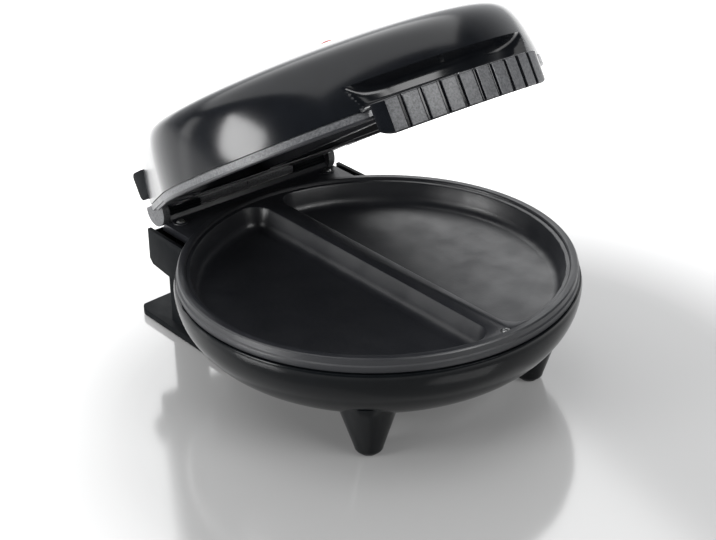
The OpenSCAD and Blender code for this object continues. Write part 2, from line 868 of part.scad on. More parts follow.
module lower_wires() {
    rear_y = block_y + block_d / 2;
    front_y = block_y - block_d / 2;
    inlet_y = housing_back - shell_wall - gland_inner_l - 2;
    pin_x = lower_ring_r * sin(heater_gap_angle / 2);
    pin_y = lower_ring_r * cos(heater_gap_angle / 2);
    pin_z = lower_pan_z - pin_end_drop;
    fuse_z = shield_under - fuse_r;
    color(sleeve_white) {
        for (i = [-1:1])
            swept_tube(bend_points([i * 2.3, inlet_y, gland_z + (i == 0 ? 1.6 : -0.8)], [0, -16, -6],
                [i * 10, rear_y, block_wire_z], [0, 14, 0]), wire_r);
        swept_tube(bend_points([-10, front_y, block_wire_z], [0, -4, -1],
            [-pin_x, pin_y, pin_z - wire_gap], [0, 0, -4]), wire_r);
        swept_tube(bend_points([10, front_y, block_wire_z], [0, -6, -1],
            [5, 0, thermostat_tab_z - wire_gap], [0, 4, -6]), wire_r);
        swept_tube(bend_points([-5, 0, thermostat_tab_z - wire_gap], [0, -6, -8],
            [fuse_x, fuse_y - fuse_lead - wire_gap, fuse_z], [0, -12, 0]), wire_r, [0, -0.45, 0.9]);
        swept_tube(bend_points([fuse_x, fuse_y + fuse_lead + wire_gap, fuse_z], [0, 12, 0],
            [pin_x, pin_y, pin_z - wire_gap], [0, 0, -8]), wire_r, [1, 0.3, 0]);
        swept_tube(bend_points([0, front_y, block_wire_z], [0, -10, 0],
            [0, 44, shield_under - wire_gap], [0, 0, -6]), wire_r);
    }
}

// Hinge pins, one at each side, pressed into the housing's knuckles

pin_inner_x = 20;

module hinge_pins() {
    color(bright_steel)
        both_sides()
            axis_rod(pin_inner_x, barrel_w / 2 - 0.3, pin_r);
}

// Lid outline and crown

lid_corner_r = 9.5;
lid_rear_y = hinge_y + 5.2;
ring_centre = [0, hinge_y - 66];
crown_y = 6;
side_power = 33;
shoulder_power = 1.1;
corner_at = [lid_rear_w / 2 - lid_corner_r, lid_rear_y - lid_corner_r];
tangent_angle = atan2(corner_at.y, corner_at.x) - acos((lid_r - lid_corner_r) / norm(corner_at));

// The lid seen from above: a round front whose sides run straight back to two rear corners
function lid_plan(off) =
    let (
        r = lid_r - off,
        c = lid_corner_r - off,
        front_steps = 38,
        corner_steps = 5,
        sweep = 180 + 2 * tangent_angle
    )
    concat(
        [for (i = [0:corner_steps]) let (a = tangent_angle + (90 - tangent_angle) * i / corner_steps)
            [corner_at.x + c * cos(a), corner_at.y + c * sin(a)]],
        [for (i = [0:corner_steps]) let (a = 90 + (90 - tangent_angle) * i / corner_steps)
            [-corner_at.x + c * cos(a), corner_at.y + c * sin(a)]],
        [for (i = [0:front_steps]) let (a = 180 - tangent_angle + sweep * i / front_steps)
            r * [cos(a), sin(a)]]);

module lid_slab(off, z0, z1) {
    translate([0, 0, z0])
        linear_extrude(height = z1 - z0)
            polygon(lid_plan(off));
}

// Height of the crown's dome over a place, before the shoulder rounds it down
function crown_height(p, off) =
    crown_z - off - (p.x * p.x + (p.y - crown_y) * (p.y - crown_y)) / (2 * crown_r);

// The lid's outer form, inset by off; below extends it downwards
module dome_solid(off, rises, below = 0) {
    plan = lid_plan(off);
    n = len(plan);
    shares = concat([for (w = rises) pow(1 - pow(w, shoulder_power), 1 / side_power)],
        [0.74, 0.5, 0.25]);
    rings = [for (u = shares, p = plan)
        let (q = ring_centre + u * (p - ring_centre), full = pow(1 - pow(u, side_power), 1 / shoulder_power))
            [q.x, q.y, part_z + (crown_height(q, off) - part_z) * full]];
    foot = [for (p = plan) [p.x, p.y, part_z - below]];
    points = concat(below > 0 ? foot : [], rings,
        [[ring_centre.x, ring_centre.y, crown_height(ring_centre, off)]]);
    levels = len(shares) + (below > 0 ? 1 : 0);
    top = levels * n;
    walls = [for (j = [0:levels - 2], i = [0:n - 1])
        let (a = j * n + i, b = j * n + (i + 1) % n)
            each [[a, b + n, b], [a, a + n, b + n]]];
    cap = [for (i = [0:n - 1]) [(levels - 1) * n + i, top, (levels - 1) * n + (i + 1) % n]];
    polyhedron(points = points, faces = concat(walls, cap, [[for (i = [0:n - 1]) i]]), convexity = 4);
}

fine_rises = [0, 0.12, 0.25, 0.37, 0.48, 0.58, 0.67, 0.75, 0.82, 0.88, 0.93, 0.965, 0.985];
rough_rises = [0, 0.3, 0.58, 0.78, 0.92, 0.98];

// Levels and radii of the grip and the finger opening

grip_low = rim_z - grip_drop;
grip_top = grip_low + grip_h;
grip_r = plate_r + grip_reach;
grip_lip_r = base_r + 0.9;
finger_top = grip_top + finger_h;
finger_r = lid_r - finger_depth;
finger_half_angle = 33;
finger_wall = 2.2;
shelf_r = lid_r - 3.4;

// A turned profile that spans half_angle to each side of the front
module front_sector(half_angle) {
    rotate([0, 0, -90 - half_angle])
        rotate_extrude(angle = 2 * half_angle, $fn = 180)
            children();
}

module finger_hollow() {
    front_sector(finger_half_angle)
        polygon([[shelf_r, grip_top - 1], [shelf_r - 0.2, grip_top + 0.5], [finger_r, finger_top - 4],
            [finger_r, finger_top], [lid_r + 16, finger_top + 1], [lid_r + 16, grip_top - 1]]);
}

module finger_lining() {
    front_sector(finger_half_angle + 1.4)
        polygon([[shelf_r - finger_wall, part_z - 4], [shelf_r - finger_wall, grip_top + 0.2],
            [finger_r - finger_wall, finger_top - 4], [finger_r - finger_wall, finger_top + finger_wall],
            [lid_r + 4, finger_top + finger_wall], [lid_r + 4, part_z - 4]]);
}

lens_x = 10;
lens_y = -20;
lens_r = 3.5;
lens_z = crown_height([lens_x, lens_y], 0);
upper_screw_r = lid_r - 5.6;
upper_front_shank = 5;
upper_ear_w = 114;
upper_well_r = lid_r - well_margin - 2;
bezel_screw = [upper_ear_w / 2 + 8, ear_back - 15.2];

module lid_shell() {
    color(gloss_black)
        difference() {
            union() {
                dome_solid(0, fine_rises);
                translate([0, -upper_screw_r, upper_deck_z + plate_t])
                    cylinder(r = boss_r - 0.4, h = 4, $fn = 40);
            }
            difference() {
                dome_solid(shell_wall, rough_rises, 3);
                finger_lining();
                translate([0, -upper_screw_r, part_z - 5])
                    cylinder(r = boss_r - 0.4, h = 14, $fn = 40);
                both_sides()
                    translate([bezel_screw.x, bezel_screw.y, part_z])
                        cylinder(r = boss_r, h = lid_h, $fn = 40);
            }
            finger_hollow();
            translate([0, -upper_screw_r, upper_deck_z])
                cylinder(r = pilot_r, h = upper_front_shank + 1.4, $fn = 32);
            both_sides() {
                translate([bezel_screw.x, bezel_screw.y, part_z - 1])
                    cylinder(r = pilot_r, h = 14, $fn = 32);
                translate([lens_x, lens_y, crown_z - 12])
                    cylinder(r = lens_r + 0.1, h = 20, $fn = 48);
            }
        }
}

// Bezel below the lid's shell, with its knuckles, cheeks and the flange that carries the grip

spigot_gap = 0.4;
plate_seat_r = lid_r - 2.6;
upper_ear_top = mate_z + plate_t;
flange_t = 2.8;
flange_r = grip_lip_r - 0.4;
flange_half_angle = 29;
grip_screw_angle = 18;
grip_screw_r = lid_r + 2.6;
grip_screw_l = 2.8;

module lid_bezel() {
    top = part_z - bezel_gap;
    outer_knuckle = 1.5 * knuckle_gap + inner_knuckle_w;
    color(matte_black)
        difference() {
            union() {
                lid_slab(0, bezel_z, top);
                lid_slab(1.4, bezel_z, part_z);
                difference() {
                    lid_slab(shell_wall + spigot_gap, bezel_z, part_z + 2);
                    lid_slab(shell_wall + spigot_gap + 1.3, bezel_z - 1, part_z + 3);
                    front_sector(finger_half_angle + 2)
                        polygon([[lid_r - 20, part_z], [lid_r + 5, part_z], [lid_r + 5, part_z + 5],
                            [lid_r - 20, part_z + 5]]);
                }
                intersection() {
                    both_sides() {
                        axis_rod(knuckle_gap / 2, knuckle_gap / 2 + inner_knuckle_w, barrel_r);
                        axis_rod(barrel_w / 2 + knuckle_gap, barrel_w / 2 + knuckle_gap + cheek_t, cheek_r);
                    }
                    translate([-lid_r, hinge_y - cheek_d, hinge_z - cheek_d])
                        cube([2 * lid_r, 2 * cheek_d, top - hinge_z + cheek_d]);
                }
                both_sides()
                    translate([ear_screw_x, ear_screw_y - 2, top - 1])
                        cylinder(r = boss_r, h = 7, $fn = 40);
                front_sector(flange_half_angle)
                    polygon([[lid_r - 1.5, bezel_z], [flange_r, bezel_z], [flange_r, bezel_z + flange_t],
                        [lid_r - 1.5, bezel_z + flange_t]]);
            }
            translate([0, 0, bezel_z - 1])
                cylinder(r = plate_seat_r + 0.3, h = top - bezel_z + 0.2, $fn = 180);
            translate([0, 0, bezel_z - 1])
                cylinder(r = plate_seat_r - 1.4, h = 20, $fn = 180);
            translate([-upper_ear_w / 2 - 0.3, ear_front - 0.3, bezel_z - 1])
                cube([upper_ear_w + 0.6, ear_back - ear_front + 0.6, upper_ear_top - bezel_z + 1.1]);
            both_sides() {
                axis_rod(outer_knuckle - knuckle_gap, barrel_w / 2 + knuckle_gap, barrel_r + 0.6);
                translate([ear_screw_x, ear_screw_y - 2, bezel_z])
                    cylinder(r = pilot_r, h = 20, $fn = 32);
                translate([bezel_screw.x, bezel_screw.y, bezel_z - 1]) {
                    cylinder(r = 1.7, h = 20, $fn = 32);
                    cylinder(r = 3, h = 3, $fn = 40);
                }
                rotate([0, 0, -90 + grip_screw_angle])
                    translate([grip_screw_r, 0, bezel_z - 1]) {
                        cylinder(r = 1.5, h = 10, $fn = 32);
                        cylinder(r = 2.5, h = 2.6, $fn = 40);
                    }
            }
            axis_rod(-inner_knuckle_w - 1, inner_knuckle_w + 1, pin_r + running_fit);
            translate([0, -upper_screw_r, bezel_z - 1])
                cylinder(r = boss_r - 0.1, h = 20, $fn = 40);
        }
}

module bezel_screws() {
    color(bright_steel)
        both_sides()
            translate([bezel_screw.x, bezel_screw.y, bezel_z + 0.2])
                rotate([180, 0, 0])
                    screw_down(5.6, 1.8, 2 * pilot_r - 0.04, 14);
}

module upper_plate() {
    lip_in = lid_r - lip_w;
    seat_top = part_z - bezel_gap - 1;
    color(coated_black)
        difference() {
            union() {
                rotate_extrude($fn = 180)
                    polygon([[0, upper_deck_z], [lip_in - 0.2, upper_deck_z], [lip_in, mate_z + 0.5],
                        [lip_in + 0.6, mate_z], [lid_r - 0.6, mate_z], [lid_r, mate_z + 0.6],
                        [lid_r, bezel_z - 0.02], [plate_seat_r, bezel_z - 0.02],
                        [plate_seat_r, seat_top], [plate_seat_r - 1.8, seat_top],
                        [plate_seat_r - 1.8, upper_deck_z + plate_t], [0, upper_deck_z + plate_t]]);
                translate([-upper_ear_w / 2, ear_front, mate_z])
                    cube([upper_ear_w, ear_back - ear_front, plate_t]);
                translate([0, 0, upper_deck_z + upper_depth])
                    mirror([0, 0, 1])
                        plate_back(upper_well_r, upper_depth, clamp_reach);
            }
            both_sides()
                translate([0, 0, upper_deck_z + upper_depth])
                    mirror([0, 0, 1])
                        well_hollow(upper_well_r, upper_depth);
            translate([0, 0, upper_deck_z + upper_depth])
                mirror([0, 0, 1])
                    clamp_pilots(clamp_reach);
            translate([0, -upper_screw_r, upper_deck_z - 1]) {
                cylinder(r = 1.6, h = 20, $fn = 32);
                cylinder(r = 3, h = 2.2, $fn = 40);
            }
            both_sides()
                translate([ear_screw_x, ear_screw_y - 2, mate_z - 1]) {
                    cylinder(r = 1.6, h = 20, $fn = 32);
                    cylinder(r = 3, h = 2.6, $fn = 40);
                }
        }
}

module upper_plate_screws() {
    color(bright_steel) {
        translate([0, -upper_screw_r, upper_deck_z - 0.6])
            rotate([180, 0, 0])
                screw_down(5.4, 1.8, 2 * pilot_r - 0.04, upper_front_shank);
        both_sides()
            translate([ear_screw_x, ear_screw_y - 2, mate_z - 0.2])
                rotate([180, 0, 0])
                    screw_down(5.4, 1.8, 2 * pilot_r - 0.04, 9);
    }
}

module upper_heater() {
    color(bare_steel)
        translate([0, 0, upper_pan_z])
            mirror([0, 0, 1])
                heater_ring(upper_ring_r, heater_gap_angle);
}

module upper_reflector() {
    color(bright_steel)
        translate([0, 0, upper_pan_z + clamp_reach])
            mirror([0, 0, 1])
                heat_shield(upper_ring_r, 6);
}

module upper_reflector_screws() {
    color(brass_yellow)
        translate([0, 0, upper_pan_z + clamp_reach])
            mirror([0, 0, 1])
                shield_screws();
}

// Grip: a ribbed bar with round ends that stands in front of the lid

end_r = 14;
grip_end_x = grip_r * sin(grip_half_angle + 4.5);
grip_corner_r = 8;
groove_depth = 1.4;

module grip_outline() {
    rotate([0, 0, -90 - grip_half_angle])
        rotate_extrude_sector(2 * grip_half_angle);
    for (s = [-1, 1])
        rotate([0, 0, -90 + s * grip_half_angle])
            translate([grip_r - end_r, 0])
                circle(r = end_r, $fn = 64);
}

// A flat ring sector between the grip's inner and outer radius, from the X axis round by sweep
module rotate_extrude_sector(sweep) {
    far = 3 * grip_r;
    intersection() {
        difference() {
            circle(r = grip_r, $fn = 360);
            circle(r = grip_r - end_r, $fn = 360);
        }
        polygon([[0, 0], [far, 0], [far * cos(sweep / 2), far * sin(sweep / 2)],
            [far * cos(sweep), far * sin(sweep)]]);
    }
}

module handle_grip() {
    seat_r = lid_r + 0.05;
    seat_z = bezel_z + flange_t + 0.02;
    edge = 1.2;
    color(gloss_black)
        difference() {
            intersection() {
                translate([0, 0, grip_low - 1])
                    linear_extrude(height = grip_h + 2)
                        grip_outline();
                translate([0, 0, grip_low + grip_r / 2])
                    rotate([90, 0, 0])
                        linear_extrude(height = 2 * grip_r)
                            round_rect(2 * grip_end_x, grip_r, grip_corner_r);
                rotate_extrude($fn = 180)
                    polygon([[grip_lip_r, grip_low], [grip_r - edge, grip_low], [grip_r, grip_low + edge],
                        [grip_r, grip_top - edge], [grip_r - edge, grip_top], [shelf_r + 0.2, grip_top],
                        [shelf_r + 0.2, grip_top - 0.95], [seat_r, grip_top - 0.95], [seat_r, seat_z],
                        [grip_lip_r, seat_z]]);
            }
            for (i = [0:groove_count - 1])
                rotate([0, 0, -90 + groove_pitch * (i - (groove_count - 1) / 2)])
                    translate([grip_r - groove_depth, -groove_w / 2, grip_low - 1])
                        cube([groove_depth + 2, groove_w, grip_h + 2]);
            both_sides()
                rotate([0, 0, -90 + grip_screw_angle])
                    translate([grip_screw_r, 0, seat_z - 1])
                        cylinder(r = 1.25, h = grip_screw_l + 2.8 - flange_t, $fn = 32);
        }
}

module grip_screws() {
    color(bright_steel)
        both_sides()
            rotate([0, 0, -90 + grip_screw_angle])
                translate([grip_screw_r, 0, bezel_z + 0.1])
                    rotate([180, 0, 0])
                        screw_down(4.6, 1.5, 2.4, grip_screw_l);
}

// Feet on the lid's back, for standing the closed part upright with the rear stand

storage_w = 14;
storage_x = 47;
storage_low = part_z + 4;
storage_h = 17;
storage_back = lid_rear_y + 9;
storage_round = 3.5;

module storage_feet() {
    depth = storage_back - lid_rear_y + 6;
    color(matte_black)
        difference() {
            both_sides()
                translate([storage_x + storage_w / 2, storage_back - depth / 2, storage_low + storage_h / 2])
                    yz_extrude(storage_w)
                        round_rect(depth, storage_h, storage_round);
            dome_solid(0, fine_rises);
        }
}

// Indicator lights in the crown

module lens() {
    difference() {
        rotate_extrude($fn = 48)
            polygon(concat([[0, -10], [lens_r, -10], [lens_r, -shell_wall - 1.8],
                [lens_r + 1.2, -shell_wall - 1.8], [lens_r + 1.2, -shell_wall - 0.4],
                [lens_r, -shell_wall - 0.4]],
                [for (a = [0:15:90]) [lens_r * cos(a), 0.2 + sin(a)]]));
        translate([0, 0, -11])
            cylinder(r = 2.3, h = 9, $fn = 40);
    }
}

module power_lens() {
    color(lamp_red)
        translate([-lens_x, lens_y, lens_z])
            lens();
}

module ready_lens() {
    color(lamp_green)
        translate([lens_x, lens_y, lens_z])
            lens();
}

lamp_l = 12;
lamp_low = lens_z - 2.05 - lamp_l;

module indicator_lamps() {
    color(sleeve_white)
        both_sides()
            translate([lens_x, lens_y, lamp_low])
                cylinder(r = 2.25, h = lamp_l, $fn = 40);
}

module upper_wires() {
    pin_x = upper_ring_r * sin(heater_gap_angle / 2);
    pin_y = upper_ring_r * cos(heater_gap_angle / 2);
    pin_z = upper_pan_z + pin_end_drop;
    color(sleeve_white)
        both_sides() {
            swept_tube(bend_points([pin_x, pin_y, pin_z + wire_gap], [0, 0, 6],
                [lens_x, lens_y, lamp_low - wire_gap], [0, 0, -10]), wire_r, [1, 0.02, 0]);
            swept_tube(bend_points([pin_x, pin_y, pin_z + wire_gap], [0, 0, 6],
                [pin_x + 6, ear_back - 6, part_z + 2], [0, 0, 14]), wire_r, [1, 0.3, 0]);
        }
}

base_shell();
hinge_housing();
housing_screws();
cord_gland();
rear_stand();
stand_screws();
foot_pads();
lower_plate();
lower_plate_screws();
lower_heater();
lower_reflector();
lower_reflector_screws();
thermostat();
thermal_fuse();
terminal_block();
lower_wires();
hinge_pins();
lid_pose() lid_shell();
lid_pose() lid_bezel();
lid_pose() bezel_screws();
lid_pose() upper_plate();
lid_pose() upper_plate_screws();
lid_pose() upper_heater();
lid_pose() upper_reflector();
lid_pose() upper_reflector_screws();
lid_pose() handle_grip();
lid_pose() grip_screws();
lid_pose() storage_feet();
lid_pose() power_lens();
lid_pose() ready_lens();
lid_pose() indicator_lamps();
lid_pose() upper_wires();
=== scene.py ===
# %% [markdown]
# # An electric omelette maker, dressed for its portrait
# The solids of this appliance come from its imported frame: two cast plates with half-moon
# wells, a bowl-shaped base on legs, a domed lid on a rear hinge and a ribbed grip. This lesson
# gives them their looks. Blender counts in metres, and every piece stays where the frame has it.

# %% Load the frame
import json
import math

import bmesh
import bpy
from mathutils import Matrix, Vector


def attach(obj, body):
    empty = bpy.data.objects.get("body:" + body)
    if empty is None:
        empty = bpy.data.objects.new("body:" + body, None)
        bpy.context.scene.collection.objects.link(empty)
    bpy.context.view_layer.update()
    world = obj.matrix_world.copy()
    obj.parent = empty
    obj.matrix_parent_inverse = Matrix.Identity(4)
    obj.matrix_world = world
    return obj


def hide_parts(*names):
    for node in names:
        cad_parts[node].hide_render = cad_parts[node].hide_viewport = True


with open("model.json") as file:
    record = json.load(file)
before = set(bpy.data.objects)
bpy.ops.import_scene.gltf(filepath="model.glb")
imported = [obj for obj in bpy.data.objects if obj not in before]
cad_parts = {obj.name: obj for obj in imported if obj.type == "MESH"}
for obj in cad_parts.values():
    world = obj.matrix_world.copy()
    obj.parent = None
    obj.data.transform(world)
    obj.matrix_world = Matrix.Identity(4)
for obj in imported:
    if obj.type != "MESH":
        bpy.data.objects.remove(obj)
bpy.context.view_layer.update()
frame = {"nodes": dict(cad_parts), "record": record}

MM = 0.001
nodes = frame["nodes"]

# %% [markdown]
# ## The camera
# The appliance is seen from its front left and from above, with its grip turned to the right.
# The place and the lens below were worked out so that the base's rim, the hinge and the lid's
# crown land on their places in the picture. A camera could also be aimed with a Track To
# constraint, but then its roll can't be set. It looks along its own -Z, so its matrix is made
# here of three directions: right, up and back.

# %% Place the camera
VIEW_TURN = math.radians(-38.3563)
VIEW_RISE = math.radians(27.6290)
VIEW_ROLL = math.radians(-1.2449)
VIEW_DISTANCE = 1.069117
VIEW_TARGET = Vector((0.0194158, 0.0418774, 0.040))
NEAREST = 0.05
SENSOR_WIDTH = 36.0
PICTURE_WIDTH = 716
FOCAL_PIXELS = 1844.2855


def aim_camera():
    back = Vector((math.sin(VIEW_TURN) * math.cos(VIEW_RISE),
                   -math.cos(VIEW_TURN) * math.cos(VIEW_RISE), math.sin(VIEW_RISE)))
    level_right = Vector((math.cos(VIEW_TURN), math.sin(VIEW_TURN), 0))
    level_up = back.cross(level_right)
    right = level_right * math.cos(VIEW_ROLL) + level_up * math.sin(VIEW_ROLL)
    up = level_up * math.cos(VIEW_ROLL) - level_right * math.sin(VIEW_ROLL)
    data = bpy.data.cameras.new("portrait_camera")
    data.sensor_width = SENSOR_WIDTH
    data.lens = FOCAL_PIXELS * SENSOR_WIDTH / PICTURE_WIDTH
    data.clip_start = NEAREST
    camera = bpy.data.objects.new("portrait_camera", data)
    bpy.context.scene.collection.objects.link(camera)
    place = VIEW_TARGET + back * VIEW_DISTANCE
    camera.matrix_world = Matrix((
        (right.x, up.x, back.x, place.x),
        (right.y, up.y, back.y, place.y),
        (right.z, up.z, back.z, place.z),
        (0, 0, 0, 1)))
    bpy.context.scene.camera = camera
    print("lens", round(data.lens, 2), "mm from", tuple(round(v, 3) for v in place))


aim_camera()

# %% [markdown]
# ## A start for every finish
# Each finish on this appliance is a node graph around one Principled shader. Numbers that are
# the same all over a piece sit on the shader's own sockets, where they are easy to find.

# %% Start a finish
def new_finish(name, colour, roughness, metallic=0.0):
    material = bpy.data.materials.new(name)
    material.use_nodes = True
    tree = material.node_tree
    shader = tree.nodes["Principled BSDF"]
    shader.inputs["Base Color"].default_value = (*colour, 1)
    shader.inputs["Roughness"].default_value = roughness
    shader.inputs["Metallic"].default_value = metallic
    return material, tree, shader

# %% [markdown]
# ## Unevenness for every finish
# Real surfaces change from place to place: a little in gloss, a little in shade, and in relief
# where the mould has a grain. Painted images could say so, but they need unwrapping. Noise laid
# out in object space needs none and keeps its scale on every piece, so these helpers use that.

# %% Noise, and what it changes
NOISE_LOW, NOISE_HIGH = 0.3, 0.7
TINT_LOW, TINT_HIGH = 0.35, 0.65


def noise(tree, scale, detail=3.0, rough=0.5):
    """Soft noise with about this many patches to a metre."""
    place = tree.nodes.new("ShaderNodeTexCoord")
    field = tree.nodes.new("ShaderNodeTexNoise")
    field.inputs["Scale"].default_value = scale
    field.inputs["Detail"].default_value = detail
    field.inputs["Roughness"].default_value = rough
    tree.links.new(place.outputs["Object"], field.inputs["Vector"])
    return field.outputs["Fac"]


def between(tree, value, low, high, start=NOISE_LOW, end=NOISE_HIGH):
    """Turns a value that runs from start to end into one that runs from low to high."""
    remap = tree.nodes.new("ShaderNodeMapRange")
    for socket, number in (("From Min", start), ("From Max", end),
                           ("To Min", low), ("To Max", high)):
        remap.inputs[socket].default_value = number
    tree.links.new(value, remap.inputs["Value"])
    return remap.outputs["Result"]


def ramp_between(tree, value, first, last):
    """A colour that goes from one to another. Each end is a position and a colour."""
    ramp = tree.nodes.new("ShaderNodeValToRGB")
    for element, (position, colour) in zip(ramp.color_ramp.elements, (first, last)):
        element.position = position
        element.color = (*colour, 1)
    tree.links.new(value, ramp.inputs["Fac"])
    return ramp.outputs["Color"]


def tint(tree, value, dark, light):
    return ramp_between(tree, value, (TINT_LOW, dark), (TINT_HIGH, light))


def bump(tree, shader, value, depth, strength):
    """Raises the surface by up to depth metres where the value is high."""
    relief = tree.nodes.new("ShaderNodeBump")
    relief.inputs["Distance"].default_value = depth
    relief.inputs["Strength"].default_value = strength
    tree.links.new(value, relief.inputs["Height"])
    tree.links.new(relief.outputs["Normal"], shader.inputs["Normal"])

# %% [markdown]
# ## Gloss plastic
# The lid, the bowl and the grip are moulded in black plastic with a polished face. A plain
# black shader with one roughness would look like a computer's idea of it. A real polished
# moulding has a faint waviness, and its gloss varies a little, so both come from noise that is
# coarse beside the grain of the matte pieces. The bowl's copy is painted shade: a darker black
# with a weaker reflection, which stands in for darker surroundings than the scene has.

# %% Gloss plastic
def make_gloss_black(name, colour, gloss, index):
    material, tree, shader = new_finish(name, colour, gloss)
    shader.inputs["IOR"].default_value = index
    patches = noise(tree, scale=38, detail=2.0)
    tree.links.new(between(tree, patches, gloss * 0.88, gloss * 1.12), shader.inputs["Roughness"])
    clouds = noise(tree, scale=120, detail=4.0)
    deeper = tuple(c * 0.8 for c in colour)
    tree.links.new(tint(tree, clouds, deeper, colour), shader.inputs["Base Color"])
    waves = noise(tree, scale=260, detail=1.0)
    bump(tree, shader, waves, depth=0.00002, strength=0.2)
    print(name, "roughness about", gloss)
    return material


gloss_black = make_gloss_black("gloss_black_plastic", (0.006, 0.007, 0.009), 0.17, 1.38)
# Painted shade: the bowl's copy is darker and reflects less than the lid's plastic.
shaded_black = make_gloss_black("shaded_black_plastic", (0.004, 0.005, 0.006), 0.16, 1.30)

# %% [markdown]
# ## Matte plastic
# The hinge's housing, the stand and the ledges at the lid's rear come from moulds with a
# spark-eroded grain. Seen close, that grain is a field of tiny pits under half a millimetre
# across. The bezel and the grip's facets have a coarser, paler one. Pits cut as geometry would
# take millions of faces, so fine noise drives both the relief and the shade instead.

# %% Matte plastic
def make_matte(name, colour, gloss, index, grain_scale, depth):
    material, tree, shader = new_finish(name, colour, gloss)
    shader.inputs["IOR"].default_value = index
    patches = noise(tree, scale=90, detail=3.0)
    tree.links.new(between(tree, patches, gloss * 0.92, gloss * 1.15), shader.inputs["Roughness"])
    grain = noise(tree, grain_scale, detail=2.0, rough=0.6)
    dark, light = tuple(c * 0.65 for c in colour), tuple(c * 1.4 for c in colour)
    tree.links.new(tint(tree, grain, dark, light), shader.inputs["Base Color"])
    bump(tree, shader, grain, depth, strength=0.5)
    print(name, "grain", grain_scale, "pits to a metre")
    return material


matte_black = make_matte("matte_black_plastic", (0.004, 0.005, 0.006), 0.50, 1.15, 2600, 0.00012)
grained_grey = make_matte("grained_grey_plastic", (0.085, 0.087, 0.092), 0.38, 1.55, 900, 0.0003)

# %% [markdown]
# ## Non-stick coating
# The cast plates carry a sprayed coating: dark grey, satin, with a fine orange peel and a few
# pale flecks of the filler that the coating holds. A Voronoi texture measures how far each
# point is from a scattered seed, so a ramp over its first few hundredths draws small flecks.

# %% Non-stick coating
COATING_GREY = (0.035, 0.036, 0.040)
FLECKS = 1100
FLECK_CORE = (0.05, (0.045, 0.046, 0.051))
FLECK_GROUND = (0.16, (0.014, 0.015, 0.018))


def make_coating():
    material, tree, shader = new_finish("non_stick_coating", COATING_GREY, 0.38)
    shader.inputs["IOR"].default_value = 1.55
    flecks = tree.nodes.new("ShaderNodeTexVoronoi")
    flecks.inputs["Scale"].default_value = FLECKS
    place = tree.nodes.new("ShaderNodeTexCoord")
    tree.links.new(place.outputs["Object"], flecks.inputs["Vector"])
    tree.links.new(ramp_between(tree, flecks.outputs["Distance"], FLECK_CORE, FLECK_GROUND),
                   shader.inputs["Base Color"])
    patches = noise(tree, scale=60, detail=3.0)
    tree.links.new(between(tree, patches, 0.32, 0.46), shader.inputs["Roughness"])
    orange_peel = noise(tree, scale=900, detail=2.0)
    bump(tree, shader, orange_peel, depth=0.00008, strength=0.4)
    print("coating with", FLECKS, "flecks to a metre")
    return material


coating = make_coating()

# %% [markdown]
# ## Metals, ceramic and rubber
# Screws, elements, wires and pads are small, and each is one plain substance. They share one
# recipe: a base colour, a second shade that drifts in with noise, a roughness that varies, and
# a shallow relief. A table of such recipes is shorter than nine functions and easy to compare.

# %% The small finishes
SMALL_FINISHES = {
    # name: (dark, light, roughness, metallic, noise scale, relief)
    "zinc_plated_steel": ((0.42, 0.43, 0.44), (0.62, 0.62, 0.61), 0.30, 1.0, 900, 0.00003),
    "element_steel": ((0.16, 0.14, 0.13), (0.30, 0.28, 0.27), 0.42, 1.0, 300, 0.00004),
    "rolled_aluminium": ((0.66, 0.67, 0.68), (0.80, 0.81, 0.82), 0.30, 1.0, 500, 0.00003),
    "ground_pin_steel": ((0.50, 0.50, 0.51), (0.66, 0.66, 0.66), 0.22, 1.0, 1400, 0.00002),
    "glazed_ceramic": ((0.72, 0.70, 0.65), (0.82, 0.80, 0.76), 0.35, 0.0, 350, 0.00005),
    "pad_rubber": ((0.020, 0.020, 0.021), (0.034, 0.034, 0.035), 0.80, 0.0, 1600, 0.00015),
    "gland_rubber": ((0.018, 0.018, 0.019), (0.030, 0.030, 0.031), 0.66, 0.0, 1200, 0.00010),
    "silicone_sleeve": ((0.72, 0.71, 0.68), (0.84, 0.83, 0.80), 0.55, 0.0, 1500, 0.00010),
    "lamp_glass": ((0.60, 0.56, 0.50), (0.78, 0.74, 0.68), 0.12, 0.0, 400, 0.00002),
}


def make_small(name):
    dark, light, roughness, metallic, scale, relief = SMALL_FINISHES[name]
    material, tree, shader = new_finish(name, light, roughness, metallic)
    shade = noise(tree, scale, detail=3.0)
    tree.links.new(tint(tree, shade, dark, light), shader.inputs["Base Color"])
    patches = noise(tree, scale / 8, detail=2.0)
    tree.links.new(between(tree, patches, roughness * 0.85, roughness * 1.2),
                   shader.inputs["Roughness"])
    bump(tree, shader, shade, relief, strength=0.5)
    return material


small = {name: make_small(name) for name in SMALL_FINISHES}
print("small finishes:", ", ".join(small))

# %% [markdown]
# ## Lamp lenses
# The two indicator windows in the crown are tinted plastic. Real ones let the lamp through,
# but with the lamps off they read as dark coloured beads, so an opaque shader with a clear coat
# does the same for far fewer light paths.

# %% Lamp lenses
def make_lens(name, colour):
    material, tree, shader = new_finish(name, colour, 0.12)
    shader.inputs["IOR"].default_value = 1.49
    shader.inputs["Coat Weight"].default_value = 0.5
    ripples = noise(tree, scale=700, detail=1.0)
    tree.links.new(between(tree, ripples, 0.09, 0.16), shader.inputs["Roughness"])
    clouds = noise(tree, scale=200, detail=2.0)
    darker = tuple(c * 0.72 for c in colour)
    tree.links.new(tint(tree, clouds, darker, colour), shader.inputs["Base Color"])
    print(name, "in", colour)
    return material


lens_red = make_lens("red_lens", (0.42, 0.02, 0.015))
lens_green = make_lens("green_lens", (0.03, 0.28, 0.06))

# %% [markdown]
# ## Which node wears which finish
# One table says what each piece is made of, as a parts list does. Every node of the frame has a
# row, so the last line can show that nothing was left bare.

